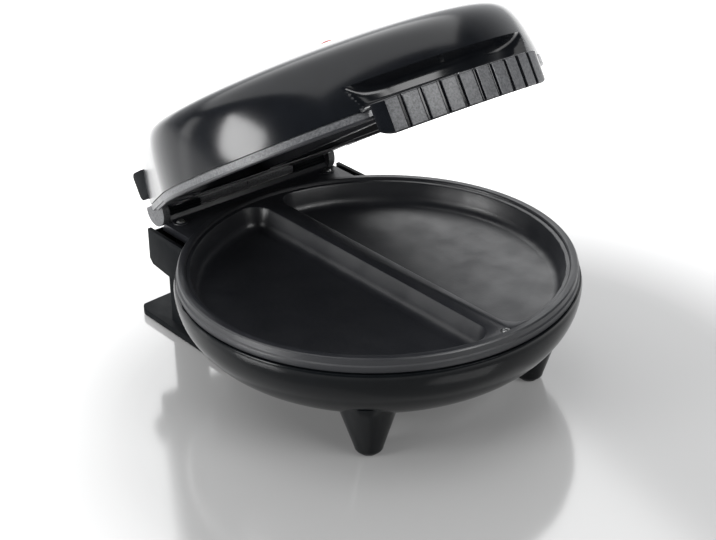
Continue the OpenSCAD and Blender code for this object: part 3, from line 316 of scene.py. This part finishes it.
# %% Dress the nodes
screw_steel = small["zinc_plated_steel"]
WEARS = {
    "base_shell": shaded_black, "hinge_housing": matte_black, "housing_screws": screw_steel,
    "cord_gland": small["gland_rubber"], "rear_stand": matte_black, "stand_screws": screw_steel,
    "foot_pads": small["pad_rubber"], "lower_plate": coating, "lower_plate_screws": screw_steel,
    "lower_heater": small["element_steel"], "lower_reflector": small["rolled_aluminium"],
    "lower_reflector_screws": screw_steel, "thermostat": small["glazed_ceramic"],
    "thermal_fuse": small["element_steel"], "terminal_block": small["glazed_ceramic"],
    "lower_wires": small["silicone_sleeve"], "hinge_pins": small["ground_pin_steel"],
    "lid_shell": gloss_black, "lid_bezel": grained_grey, "bezel_screws": screw_steel,
    "upper_plate": coating, "upper_plate_screws": screw_steel,
    "upper_heater": small["element_steel"], "upper_reflector": small["rolled_aluminium"],
    "upper_reflector_screws": screw_steel, "handle_grip": gloss_black,
    "grip_screws": screw_steel, "storage_feet": matte_black, "power_lens": lens_red,
    "ready_lens": lens_green, "indicator_lamps": small["lamp_glass"],
    "upper_wires": small["silicone_sleeve"],
}
for name, finish in WEARS.items():
    nodes[name].data.materials.clear()
    nodes[name].data.materials.append(finish)
print("dressed", len(WEARS), "nodes; bare:", sorted(set(nodes) - set(WEARS)))

# %% [markdown]
# ## Adding a piece of one's own
# Some pieces need more than a finish. A new mesh gets its finish and rides on the body that
# carries it, so that it moves when the lid does. Shading is smooth across small turns and sharp
# across large ones, which is how a moulding with crisp edges looks.

# %% Add a piece
def smooth(mesh, angle):
    for polygon in mesh.polygons:
        polygon.use_smooth = True
    mesh.set_sharp_from_angle(angle=math.radians(angle))


def add_piece(name, mesh, body, finish):
    piece = bpy.data.objects.new(name, mesh)
    bpy.context.scene.collection.objects.link(piece)
    mesh.materials.clear()
    mesh.materials.append(finish)
    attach(piece, body)
    return piece

# %% [markdown]
# ## Softened copies
# Nothing moulded or cast has a knife edge. A copy of a solid is cleaned of its doubled corners,
# its flat faces are joined again, and each sharp edge gets a tiny round that catches the light.
# A Bevel modifier does that over a whole piece at once, where rounding edge by edge would take
# a list for each. The copy stands for the node, which stays in the frame for the motion.

# %% Soften a copy of a node
DOUBLED = 0.004 * MM
FLAT_WITHIN = math.radians(0.4)
EDGE_TURN = 32
ROUND_TURN = 40
ROUND_STEPS = 2


def round_edges(piece, width):
    rounder = piece.modifiers.new("round_edges", "BEVEL")
    rounder.width = width * MM
    rounder.segments = ROUND_STEPS
    rounder.limit_method = "ANGLE"
    rounder.angle_limit = math.radians(EDGE_TURN)
    rounder.use_clamp_overlap = True
    rounder.harden_normals = False
    graph = bpy.context.evaluated_depsgraph_get()
    mesh = bpy.data.meshes.new_from_object(piece.evaluated_get(graph))
    piece.modifiers.clear()
    old, piece.data = piece.data, mesh
    bpy.data.meshes.remove(old)
    smooth(mesh, ROUND_TURN)


def soften(node, width):
    mesh = nodes[node].data.copy()
    mesh.name = node + "_soft"
    form = bmesh.new()
    form.from_mesh(mesh)
    bmesh.ops.remove_doubles(form, verts=form.verts, dist=DOUBLED)
    bmesh.ops.dissolve_limit(form, angle_limit=FLAT_WITHIN, verts=form.verts, edges=form.edges)
    form.to_mesh(mesh)
    form.free()
    body = next(b for b, members in frame["record"]["behaviour"]["bodies"].items()
                if node in members)
    piece = add_piece(node + "_soft", mesh, body, WEARS[node])
    smooth(mesh, EDGE_TURN)
    if width:
        round_edges(piece, width)
    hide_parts(node)
    print(node, "softened:", len(piece.data.polygons), "faces")


EDGE_ROUNDS = {  # in millimetres; 0 leaves the bezel's thin lips as they are
    "base_shell": 0.4, "hinge_housing": 0.5, "rear_stand": 0.6, "lower_plate": 0.35,
    "lid_bezel": 0, "upper_plate": 0.35, "storage_feet": 0.4,
}
for node, width in EDGE_ROUNDS.items():
    soften(node, width)

# %% [markdown]
# ## Where the lid stands
# The frame holds the lid open, as it is in the picture. Its shape is far easier to describe
# closed, level and in millimetres, so the next steps build it there, from the same sizes as the
# solid. One matrix then swings each finished piece about the hinge's axis to the open place.

# %% Places on the closed lid, in millimetres
HINGE_Y, HINGE_Z = 126.0, 73.0
LID_OPEN = math.radians(31.5)
LID_R = 108.5
PART_Z = 77.8
CROWN_Z = 122.9
CROWN_R = 530.0
CROWN_Y = 6.0
REAR_HALF_W = 64.8
REAR_Y = 131.2
CORNER_R = 9.5

hinge = Vector((0, HINGE_Y, HINGE_Z)) * MM
swing = (Matrix.Translation(hinge) @ Matrix.Rotation(-LID_OPEN, 4, "X")
         @ Matrix.Translation(-hinge))
print("the closed lid's front comes to", tuple(
    round(v / MM, 1) for v in swing @ Vector((0, -LID_R * MM, PART_Z * MM))))

# %% [markdown]
# ## The lid's outline
# From above, the lid is a circle whose sides run straight back to two rounded rear corners. A
# line from a circle to a smaller one meets both at the same angle, the tangent. So one angle
# gives every arc's start and end, and the outline needs no list of points.

# %% Draw the outline
def arc(centre, radius, start, sweep, steps):
    return [centre + radius * Vector((math.cos(a), math.sin(a)))
            for a in (start + sweep * i / steps for i in range(steps + 1))]


def lid_outline(inset, front_steps, corner_steps, straight_steps):
    """Points round the lid seen from above, in millimetres."""
    corner = Vector((REAR_HALF_W - CORNER_R, REAR_Y - CORNER_R))
    tangent = math.atan2(corner.y, corner.x) - math.acos((LID_R - CORNER_R) / corner.length)
    right = arc(corner, CORNER_R - inset, tangent, math.pi / 2 - tangent, corner_steps)
    left = [Vector((-p.x, p.y)) for p in reversed(right)]
    front = arc(Vector((0, 0)), LID_R - inset, math.pi - tangent, math.pi + 2 * tangent,
                front_steps)

    def across(a, b):
        return [a.lerp(b, i / straight_steps) for i in range(1, straight_steps)]

    return (right + across(right[-1], left[0]) + left + across(left[-1], front[0]) + front
            + across(front[-1], right[0]))


FINE_OUTLINE = (180, 16, 14)
ROUGH_OUTLINE = (60, 6, 4)
print("fine outline:", len(lid_outline(0, *FINE_OUTLINE)), "points; rough:",
      len(lid_outline(0, *ROUGH_OUTLINE)))

# %% [markdown]
# ## Skins over rings
# Many forms on the lid are a stack of closed outlines with a skin over them, as a loft is in a
# drawing office. This helper takes the outlines as rings of points and joins each to the next
# with four-sided faces. The last ring is closed flat, or drawn up to a tip.

# %% Skin a stack of rings
def rings_to_mesh(name, rings, tip=None):
    """Skins a stack of rings of points, in millimetres."""
    form = bmesh.new()
    rows = [[form.verts.new(Vector(p) * MM) for p in ring] for ring in rings]
    steps = [(i, (i + 1) % len(rows[0])) for i in range(len(rows[0]))]
    for low, high in zip(rows, rows[1:]):
        for i, j in steps:
            form.faces.new((low[i], low[j], high[j], high[i]))
    form.faces.new(list(reversed(rows[0])))
    last = rows[-1]
    if tip is None:
        form.faces.new(last)
    else:
        top = form.verts.new(Vector(tip) * MM)
        for i, j in steps:
            form.faces.new((last[i], last[j], top))
    mesh = bpy.data.meshes.new(name)
    form.normal_update()
    bmesh.ops.recalc_face_normals(form, faces=form.faces)
    form.to_mesh(mesh)
    form.free()
    return mesh

# %% [markdown]
# ## The dome's skin
# From the side the crown is a shallow dome with a quick shoulder and nearly upright walls. It
# could be a subdivided cage, but the reflections in polished plastic show every flat spot and
# a cage drifts off the solid. A rounded power curve gives both the shoulder and the wall, and
# a fine grid that follows it keeps to the solid's rule. The rings shrink towards one middle
# point, so they crowd at the shoulder, where the form turns fastest.

# %% Skin the dome
SIDE_POWER = 33
SHOULDER_POWER = 1.1
DOME_MIDDLE = Vector((0, 60))


def crown_height(x, y, inset):
    return CROWN_Z - inset - (x * x + (y - CROWN_Y) ** 2) / (2 * CROWN_R)


def dome_mesh(name, inset, rises, shares, outline, below=0.0):
    """Rises are heights on the wall, and shares are sizes of the rings on the crown."""
    shares = [(1 - w ** SHOULDER_POWER) ** (1 / SIDE_POWER) for w in rises] + shares
    rings = []
    if below:
        rings.append([(p.x, p.y, PART_Z - below) for p in outline])
    for u in shares:
        full = (1 - u ** SIDE_POWER) ** (1 / SHOULDER_POWER)
        ring = []
        for p in outline:
            q = DOME_MIDDLE + u * (p - DOME_MIDDLE)
            ring.append((q.x, q.y, PART_Z + (crown_height(q.x, q.y, inset) - PART_Z) * full))
        rings.append(ring)
    return rings_to_mesh(name, rings, (*DOME_MIDDLE, crown_height(*DOME_MIDDLE, inset)))


print("crown at the middle:", round(crown_height(*DOME_MIDDLE, 0), 1), "mm")

# %% [markdown]
# ## Turning and cutting
# Fingers reach the grip through a scoop in the front of the crown. Its cutter is a section that
# is turned about the lid's upright axis and may change on the way. A boolean with the exact
# solver then takes it out of the skin, as a milling cutter would.

# %% Turned sectors and booleans
def turned_sector(name, section, half_angle, steps):
    """Sweeps a closed (radius, height) section, which may change on the way, past the front."""
    rings = []
    for i in range(steps + 1):
        degrees = half_angle * (2 * i / steps - 1)
        a = math.radians(degrees - 90)
        rings.append([(r * math.cos(a), r * math.sin(a), z) for r, z in section(degrees)])
    return rings_to_mesh(name, rings)


def combine(mesh, other, operation):
    """One boolean between two meshes, which are used up."""
    target = bpy.data.objects.new("work", mesh)
    tool = bpy.data.objects.new("tool", other)
    for item in (target, tool):
        bpy.context.scene.collection.objects.link(item)
    cut = target.modifiers.new("cut", "BOOLEAN")
    cut.operation, cut.object, cut.solver = operation, tool, "EXACT"
    graph = bpy.context.evaluated_depsgraph_get()
    result = bpy.data.meshes.new_from_object(target.evaluated_get(graph))
    result.name = mesh.name
    for item, data in ((target, mesh), (tool, other)):
        bpy.data.objects.remove(item)
        bpy.data.meshes.remove(data)
    return result

# %% [markdown]
# ## The scoop
# The scoop is deepest in the middle, runs out to the dome's side at both ends and ends in a
# level crease above. A plain turned groove would leave two upright steps at its ends. So the
# face's distance from the axis is worked out for each direction and height: the depth fades
# over the last ten degrees, and the lower the point, the sooner the scoop ends.

# %% The scoop's face
GRIP_TOP = 79.4
CREASE_Z = 91.9
SCOOP_R = 100.2
SCOOP_MIDDLE_Z = 84.0
SCOOP_CURVE = 0.105
SCOOP_FOOT_Z = GRIP_TOP + 1.5
SCOOP_FOOT_CURVE = 0.8
SCOOP_TOP_Z = 96.0
SCOOP_HALF_ANGLE = 33.3
SCOOP_TAPER = 0.27
SCOOP_RUN = 10.0
SCOOP_FULLNESS = 0.62
SKIN_GAP = 0.05
DOME_LEAN = 0.19


def scoop_radius(degrees, z):
    """Where the scoop's face stands at a height, some degrees to the side of the front."""
    end = SCOOP_HALF_ANGLE - SCOOP_TAPER * max(CREASE_Z - z, 0)
    share = min(max((end - abs(degrees)) / SCOOP_RUN, 0.0), 1.0)
    depth = (1 - (1 - share) ** 2) ** SCOOP_FULLNESS
    foot = SCOOP_FOOT_CURVE * max(SCOOP_FOOT_Z - z, 0) ** 2
    face = SCOOP_R + SCOOP_CURVE * max(z - SCOOP_MIDDLE_Z, 0) ** 2 + foot
    skin = LID_R + SKIN_GAP - DOME_LEAN * (z - GRIP_TOP)
    return skin - depth * (skin - face)


print("scoop at its middle height:", [round(scoop_radius(d, SCOOP_MIDDLE_Z), 1)
                                      for d in (0, 20, 30)], "mm from the axis")

# %% [markdown]
# ## The cutter and the lining
# The cutter reaches from the scoop's face to well outside the dome. The dome is hollow, so
# without more it would break through. The hollow's own form gives up the same shape, less the
# thickness of a wall, and that leaves a wall behind the scoop.

# %% Sections of the cutter and the lining
OUTSIDE_R = LID_R + 16
SCOOP_LOW_Z = GRIP_TOP - 1
FOOT_STEP, FOOT_STEPS = 0.5, 5
FACE_STEPS = 26
SCOOP_WALL = 2.2
LINING_R = LID_R + 4
LINING_LOW_Z = PART_Z - 4
LINING_TOP_Z = 95


def scoop_section(degrees):
    foot = [SCOOP_LOW_Z + FOOT_STEP * i for i in range(FOOT_STEPS + 1)]
    face = [foot[-1] + (SCOOP_TOP_Z - SCOOP_LOW_Z - FOOT_STEP * FOOT_STEPS) * i / FACE_STEPS
            for i in range(1, FACE_STEPS + 1)]
    return ([(scoop_radius(degrees, z), z) for z in foot + face]
            + [(OUTSIDE_R, SCOOP_TOP_Z), (OUTSIDE_R, SCOOP_LOW_Z)])


def lining_section(degrees):
    """What the hollow gives up, so that a wall stands behind the scoop."""
    heights = [GRIP_TOP + 2] + list(range(83, LINING_TOP_Z + 1, 2))
    return ([(SCOOP_R - SCOOP_WALL, LINING_LOW_Z)]
            + [(min(scoop_radius(degrees, z) - SCOOP_WALL, LID_R), z) for z in heights]
            + [(LINING_R, LINING_TOP_Z), (LINING_R, LINING_LOW_Z)])


print("cutter section:", len(scoop_section(0)), "points; lining:", len(lining_section(0)))

# %% [markdown]
# ## The dome
# The real lid is one moulding with a wall of 2.4 mm. Three booleans make it: the lining comes
# off the hollow, the hollow comes out of the outer form, and the scoop comes out last, so that
# its crease is cut clean. Only then is the lid swung open.

# %% Build the dome
SHELL_WALL = 2.4
HOLLOW_BELOW = 3
LINING_PAST, LINING_STEPS = 1, 72
SCOOP_PAST, SCOOP_STEPS = 0.2, 134
DOME_TURN = 28
FINE_STEPS = 44
FINE_RISES = [0] + [1 - (1 - i / FINE_STEPS) ** 1.35 for i in range(1, FINE_STEPS)]
FINE_SHARES = [0.82, 0.76, 0.69, 0.61, 0.52, 0.42, 0.32, 0.21, 0.1]
ROUGH_RISES = [0, 0.3, 0.58, 0.78, 0.92, 0.98]
ROUGH_SHARES = [0.74, 0.5, 0.25]


def build_dome():
    outer = dome_mesh("lid_dome", 0, FINE_RISES, FINE_SHARES, lid_outline(0, *FINE_OUTLINE))
    hollow = dome_mesh("lid_hollow", SHELL_WALL, ROUGH_RISES, ROUGH_SHARES,
                       lid_outline(SHELL_WALL, *ROUGH_OUTLINE), HOLLOW_BELOW)
    lining = turned_sector("lining", lining_section, SCOOP_HALF_ANGLE + LINING_PAST, LINING_STEPS)
    shell = combine(outer, combine(hollow, lining, "DIFFERENCE"), "DIFFERENCE")
    scoop = turned_sector("scoop", scoop_section, SCOOP_HALF_ANGLE + SCOOP_PAST, SCOOP_STEPS)
    shell = combine(shell, scoop, "DIFFERENCE")
    shell.transform(swing)
    smooth(shell, DOME_TURN)
    dome = add_piece("lid_dome", shell, "lid", gloss_black)
    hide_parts("lid_shell")
    print("dome:", len(shell.polygons), "faces")


build_dome()

# %% [markdown]
# ## The bezel's outer band
# Seen level with the lid, a grained band runs below the dome's edge from one rear cheek round
# the front to the other. It is a strip that follows the dome's outline and stops short of the
# hinge, so its section is set at each point of that outline and skinned from end to end.

# %% Build the band, in millimetres
BAND_TOP, BAND_LOW = 77.0, 72.6
BAND_OUTER, BAND_INNER = 0.8, 2.3
BAND_SLOPE, BAND_SLOPE_H = 0.25, 0.4
BAND_OUTLINE = (180, 4, 40)
BAND_TURN = 30
BAND_REAR_Y = 112.0


def build_band():
    rings = []
    for p, q in zip(lid_outline(BAND_OUTER, *BAND_OUTLINE),
                    lid_outline(BAND_INNER, *BAND_OUTLINE)):
        if p.y < BAND_REAR_Y:
            slope = p.lerp(q, BAND_SLOPE)
            rings.append([(*p, BAND_TOP), (*p, BAND_LOW + BAND_SLOPE_H), (*slope, BAND_LOW),
                          (*q, BAND_LOW), (*q, BAND_TOP)])
    mesh = rings_to_mesh("bezel_band", rings)
    mesh.transform(swing)
    smooth(mesh, BAND_TURN)
    add_piece("bezel_band", mesh, "lid", grained_grey)
    print("band:", len(rings), "sections")


build_band()

# %% [markdown]
# ## The grip's grooves
# The grip is a curved lip that hangs in front of the rim, and nine upright grooves cross its
# face. Each could be cut with its own tool, but the mouth of a moulded groove is rounded and
# its floor narrow. One small table holds that profile, and the outline repeats it at each pitch.

# %% The grooved outline, in millimetres and degrees
GRIP_R = 116.0
GRIP_HALF_ANGLE = 24.5
GROOVE_PITCH = 5.3
GROOVE_COUNT = 9
GROOVE_DEPTH = 1.4
GROOVE_SIDE = ((1.75, 0), (1.35, 0.12), (1.1, 0.42), (0.75, GROOVE_DEPTH - 0.1),
               (0.45, GROOVE_DEPTH))
GROOVE_PROFILE = [(-across, depth) for across, depth in GROOVE_SIDE] + list(reversed(GROOVE_SIDE))


def groove_steps():
    """Pairs of angle and depth across the grooved face."""
    pairs = []
    for i in range(GROOVE_COUNT):
        middle = GROOVE_PITCH * (i - (GROOVE_COUNT - 1) / 2)
        for across, depth in GROOVE_PROFILE:
            pairs.append((middle + math.degrees(across / GRIP_R), depth))
    return pairs


print("grooves from", round(groove_steps()[0][0], 1), "to",
      round(groove_steps()[-1][0], 1), "degrees")

# %% [markdown]
# ## The grip's round ends
# Both ends of the grip curve back to the lid in an arc. Seen from the lid's axis that arc is a
# smaller circle off to one side, so the law of cosines gives its distance at each angle. Its
# two lower corners are rounded as well: there the lower edge rises as a quarter circle.

# %% Faces and corners
GRIP_END_R = 14.0
END_SWEEP = 8.0
END_STEPS = 40
END_GAP = 0.02
GRIP_CORNER_R = 8.0
GRIP_END_ANGLE = GRIP_HALF_ANGLE + 4.5
GRIP_END_X = GRIP_R * math.sin(math.radians(GRIP_END_ANGLE))


def grip_faces(limit_r):
    """Angle and outer radius from end to end, until the end's round reaches limit_r."""
    middle_r = GRIP_R - GRIP_END_R
    ends = []
    for i in range(END_STEPS + 1):
        turn = math.radians(END_SWEEP * i / END_STEPS)
        reach = GRIP_END_R ** 2 - (middle_r * math.sin(turn)) ** 2
        if reach < 0:
            break
        outer = middle_r * math.cos(turn) + math.sqrt(reach)
        if outer < limit_r + END_GAP:
            break
        ends.append((GRIP_HALF_ANGLE + math.degrees(turn), outer))
    left = [(-a, r) for a, r in reversed(ends)]
    return left + [(a, GRIP_R - d) for a, d in groove_steps()] + ends


def corner_lift(x):
    """How far the lower edge rises where the face's two lower corners are rounded."""
    into = abs(x) - (GRIP_END_X - GRIP_CORNER_R)
    if into <= 0:
        return 0.0
    return GRIP_CORNER_R - math.sqrt(max(GRIP_CORNER_R ** 2 - into ** 2, 0.0))


print("the grip ends", round(GRIP_END_X, 1), "mm from the middle")

# %% [markdown]
# ## The grip's section
# A grip that fingers close on has rounded edges. The section's two outer corners are quarter
# circles of 1.2 mm, or less where the end of the grip gets thin. Each section is turned to its
# own angle about the lid's axis, and the row of them is skinned.

# %% Sections along the grip
EDGE_R = 1.2
EDGE_SHARE = 0.48
EDGE_STEPS = 4


def rounded(outer, inner, low, high):
    """A section whose two outer corners are rounded."""
    e = min(EDGE_R, EDGE_SHARE * (outer - inner))
    turn = [math.pi / 2 * i / EDGE_STEPS for i in range(EDGE_STEPS + 1)]
    return ([(inner, low)]
            + [(outer - e + e * math.sin(a), low + e - e * math.cos(a)) for a in turn]
            + [(outer - e + e * math.cos(a), high - e + e * math.sin(a)) for a in turn]
            + [(inner, high)])


def grip_part(name, limit_r, section):
    rings = []
    for degrees, outer in grip_faces(limit_r):
        a = math.radians(-90 + degrees)
        lift = corner_lift(outer * math.cos(a))
        rings.append([(r * math.cos(a), r * math.sin(a), z) for r, z in section(outer, lift)])
    return rings_to_mesh(name, rings)

# %% [markdown]
# ## The grip
# The real grip is one piece with two parts: a thin wall that hangs down in front of the rim,
# and above it a thicker block that seats on the dome's shelf. A union of the two gives the
# right step on the inside. The flats between the grooves have the bezel's grain, and the
# grooves are polished, so the flats' faces get the second finish.

# %% Build the grip
GRIP_LOW = 62.2
GRIP_LIP_R = 113.4
SEAT_R = 108.55
SEAT_Z = 76.82
SHELF_R = 105.3
SHELF_Z = GRIP_TOP - 0.95
FLAT_MISS, FLAT_HALF_ANGLE = 0.2, GRIP_HALF_ANGLE + 0.5
GRIP_TURN = 12


def wall_section(outer, lift):
    return rounded(outer, GRIP_LIP_R, GRIP_LOW + lift, GRIP_TOP)


def block_section(outer, lift):
    return ([(SEAT_R, SEAT_Z)] + rounded(outer, SEAT_R, SEAT_Z, GRIP_TOP)[1:-1]
            + [(SHELF_R, GRIP_TOP), (SHELF_R, SHELF_Z), (SEAT_R, SHELF_Z)])


def flats_between_grooves(mesh):
    """Faces of the closed grip's front that are neither in a groove nor on an edge."""
    flats = []
    for face in mesh.polygons:
        x, y, _ = face.center / MM
        turn = math.degrees(math.atan2(x, -y))
        upright = face.normal.z ** 2 < 0.1
        if upright and math.hypot(x, y) > GRIP_R - FLAT_MISS and abs(turn) < FLAT_HALF_ANGLE:
            flats.append(face.index)
    return flats


def build_grip():
    grip = combine(grip_part("grip", GRIP_LIP_R, wall_section),
                   grip_part("grip_block", SEAT_R, block_section), "UNION")
    flats = flats_between_grooves(grip)
    grip.transform(swing)
    smooth(grip, GRIP_TURN)
    piece = add_piece("grip_ribbed", grip, "lid", gloss_black)
    grip.materials.append(grained_grey)
    for index in flats:
        grip.polygons[index].material_index = 1
    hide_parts("handle_grip")
    print("grip:", len(grip.polygons), "faces, of which", len(flats), "are grained")


build_grip()

# %% [markdown]
# ## The floor
# The appliance stands on a pale polished board that runs out to white and gives back a soft
# mirror image. One even white would drown that image, and one grey would leave a grey picture.
# So the board's colour holds painted shade, darker near the appliance, and a painted light, an
# emission, grows with the distance from it, stronger on the right, where less of the lamps'
# light arrives. The board is only a stage, and isn't part of the object.

# %% Lay the floor
FLOOR_REACH = 3.5
FLOOR_MIDDLE = (0.0, -0.06, 0)
PAINTED_SHADE_GREYS, PAINTED_SHADE_SPAN = (0.34, 0.80), (0.17, 0.38)
PAINTED_LIGHT_STRENGTHS, PAINTED_LIGHT_SPAN = (0.08, 0.60), (0.18, 0.42)
PAINTED_LIGHT_SIDES, PAINTED_LIGHT_SIDE_SPAN = (0.35, 1.9), (-0.25, 0.30)


def make_board_with_painted_light():
    material, tree, shader = new_finish("polished_board_painted_shade_and_light", (0.8, 0.8, 0.8), 0.12)
    shader.inputs["IOR"].default_value = 1.9
    place = tree.nodes.new("ShaderNodeTexCoord")
    off = tree.nodes.new("ShaderNodeVectorMath")
    off.operation = "DISTANCE"
    off.inputs[1].default_value = FLOOR_MIDDLE
    tree.links.new(place.outputs["Object"], off.inputs[0])
    distance = off.outputs["Value"]
    # Painted shade: the board's colour is darker near the appliance and pales with the distance.
    tree.links.new(between(tree, distance, *PAINTED_SHADE_GREYS, *PAINTED_SHADE_SPAN),
                   shader.inputs["Base Color"])
    # Painted light: an emission that grows with the distance from the appliance and towards the
    # right.
    split = tree.nodes.new("ShaderNodeSeparateXYZ")
    tree.links.new(place.outputs["Object"], split.inputs[0])
    painted_glow = tree.nodes.new("ShaderNodeMath")
    painted_glow.operation = "MULTIPLY"
    tree.links.new(between(tree, distance, *PAINTED_LIGHT_STRENGTHS, *PAINTED_LIGHT_SPAN), painted_glow.inputs[0])
    tree.links.new(between(tree, split.outputs["X"], *PAINTED_LIGHT_SIDES, *PAINTED_LIGHT_SIDE_SPAN),
                   painted_glow.inputs[1])
    tree.links.new(painted_glow.outputs["Value"], shader.inputs["Emission Strength"])
    shader.inputs["Emission Color"].default_value = (1.0, 1.0, 1.0, 1.0)
    return material


def lay_floor():
    mesh = bpy.data.meshes.new("studio_floor")
    r = FLOOR_REACH
    mesh.from_pydata([(-r, -r, 0), (r, -r, 0), (r, r, 0), (-r, r, 0)], [], [(0, 1, 2, 3)])
    floor = bpy.data.objects.new("studio_floor", mesh)
    bpy.context.scene.collection.objects.link(floor)
    mesh.materials.append(make_board_with_painted_light())
    print("floor:", 2 * r, "m across")


lay_floor()

# %% [markdown]
# ## The lamps
# Polished black plastic shows little of its own, only what stands around it. Point lamps would
# leave hard white dots, so every lamp is a soft panel, and its mirror image is a soft patch on
# the lid. The side panel makes the large one. A panel's energy is its brightness times its
# area, so the table holds the brightness, which is what the eye sees in the plastic.

# %% Hang the lamps
LID_MIDDLE = (-0.06, -0.02, 0.17)
PANELS = (
    # name, place, aim, width, height, brightness
    ("ceiling_panel", (0.0, 0.50, 1.0), (0.0, 0.26, 0.2), 2.1, 2.1, 2.0),
    ("side_panel", (-1.25, 0.30, 0.38), LID_MIDDLE, 0.56, 0.46, 18.0),
    ("rear_panel", (-0.86, 1.05, 0.20), LID_MIDDLE, 0.20, 0.36, 2.0),
    ("front_panel", (0.25, -1.25, 1.00), LID_MIDDLE, 0.90, 0.50, 9.0),
)


def soft_panel(name, place, aim, width, height, brightness):
    data = bpy.data.lights.new(name, "AREA")
    data.shape = "RECTANGLE"
    data.size, data.size_y = width, height
    data.energy = brightness * math.pi * width * height
    panel = bpy.data.objects.new(name, data)
    panel.location = place
    panel.rotation_euler = (Vector(aim) - Vector(place)).to_track_quat("-Z", "Y").to_euler()
    bpy.context.scene.collection.objects.link(panel)
    print(name, round(data.energy, 2), "W")


for panel in PANELS:
    soft_panel(*panel)

bpy.context.scene.view_settings.view_transform = "Standard"

# %% [markdown]
# ## The room
# The room is dark behind the camera and pale on the far side, where it makes the white
# backdrop and the thin light along the lid's far edge. One even sky would fill the black
# plastic with grey. A gradient along one level direction gives both with a single node.

# %% Set the room
ROOM_DIRECTION = (0.62, 0.78, 0.0)
ROOM_STRENGTHS, ROOM_SPAN = (0.05, 1.02), (0.35, 0.95)
ROOM_WHITE = (0.97, 0.98, 1.0, 1)


def make_room():
    world = bpy.data.worlds.new("studio_room")
    bpy.context.scene.world = world
    world.use_nodes = True
    tree = world.node_tree
    place = tree.nodes.new("ShaderNodeTexCoord")
    facing = tree.nodes.new("ShaderNodeVectorMath")
    facing.operation = "DOT_PRODUCT"
    facing.inputs[1].default_value = ROOM_DIRECTION
    tree.links.new(place.outputs["Generated"], facing.inputs[0])
    sky = tree.nodes["Background"]
    sky.inputs["Color"].default_value = ROOM_WHITE
    tree.links.new(between(tree, facing.outputs["Value"], *ROOM_STRENGTHS, *ROOM_SPAN),
                   sky.inputs["Strength"])
    print("room strength from", *ROOM_STRENGTHS)


make_room()
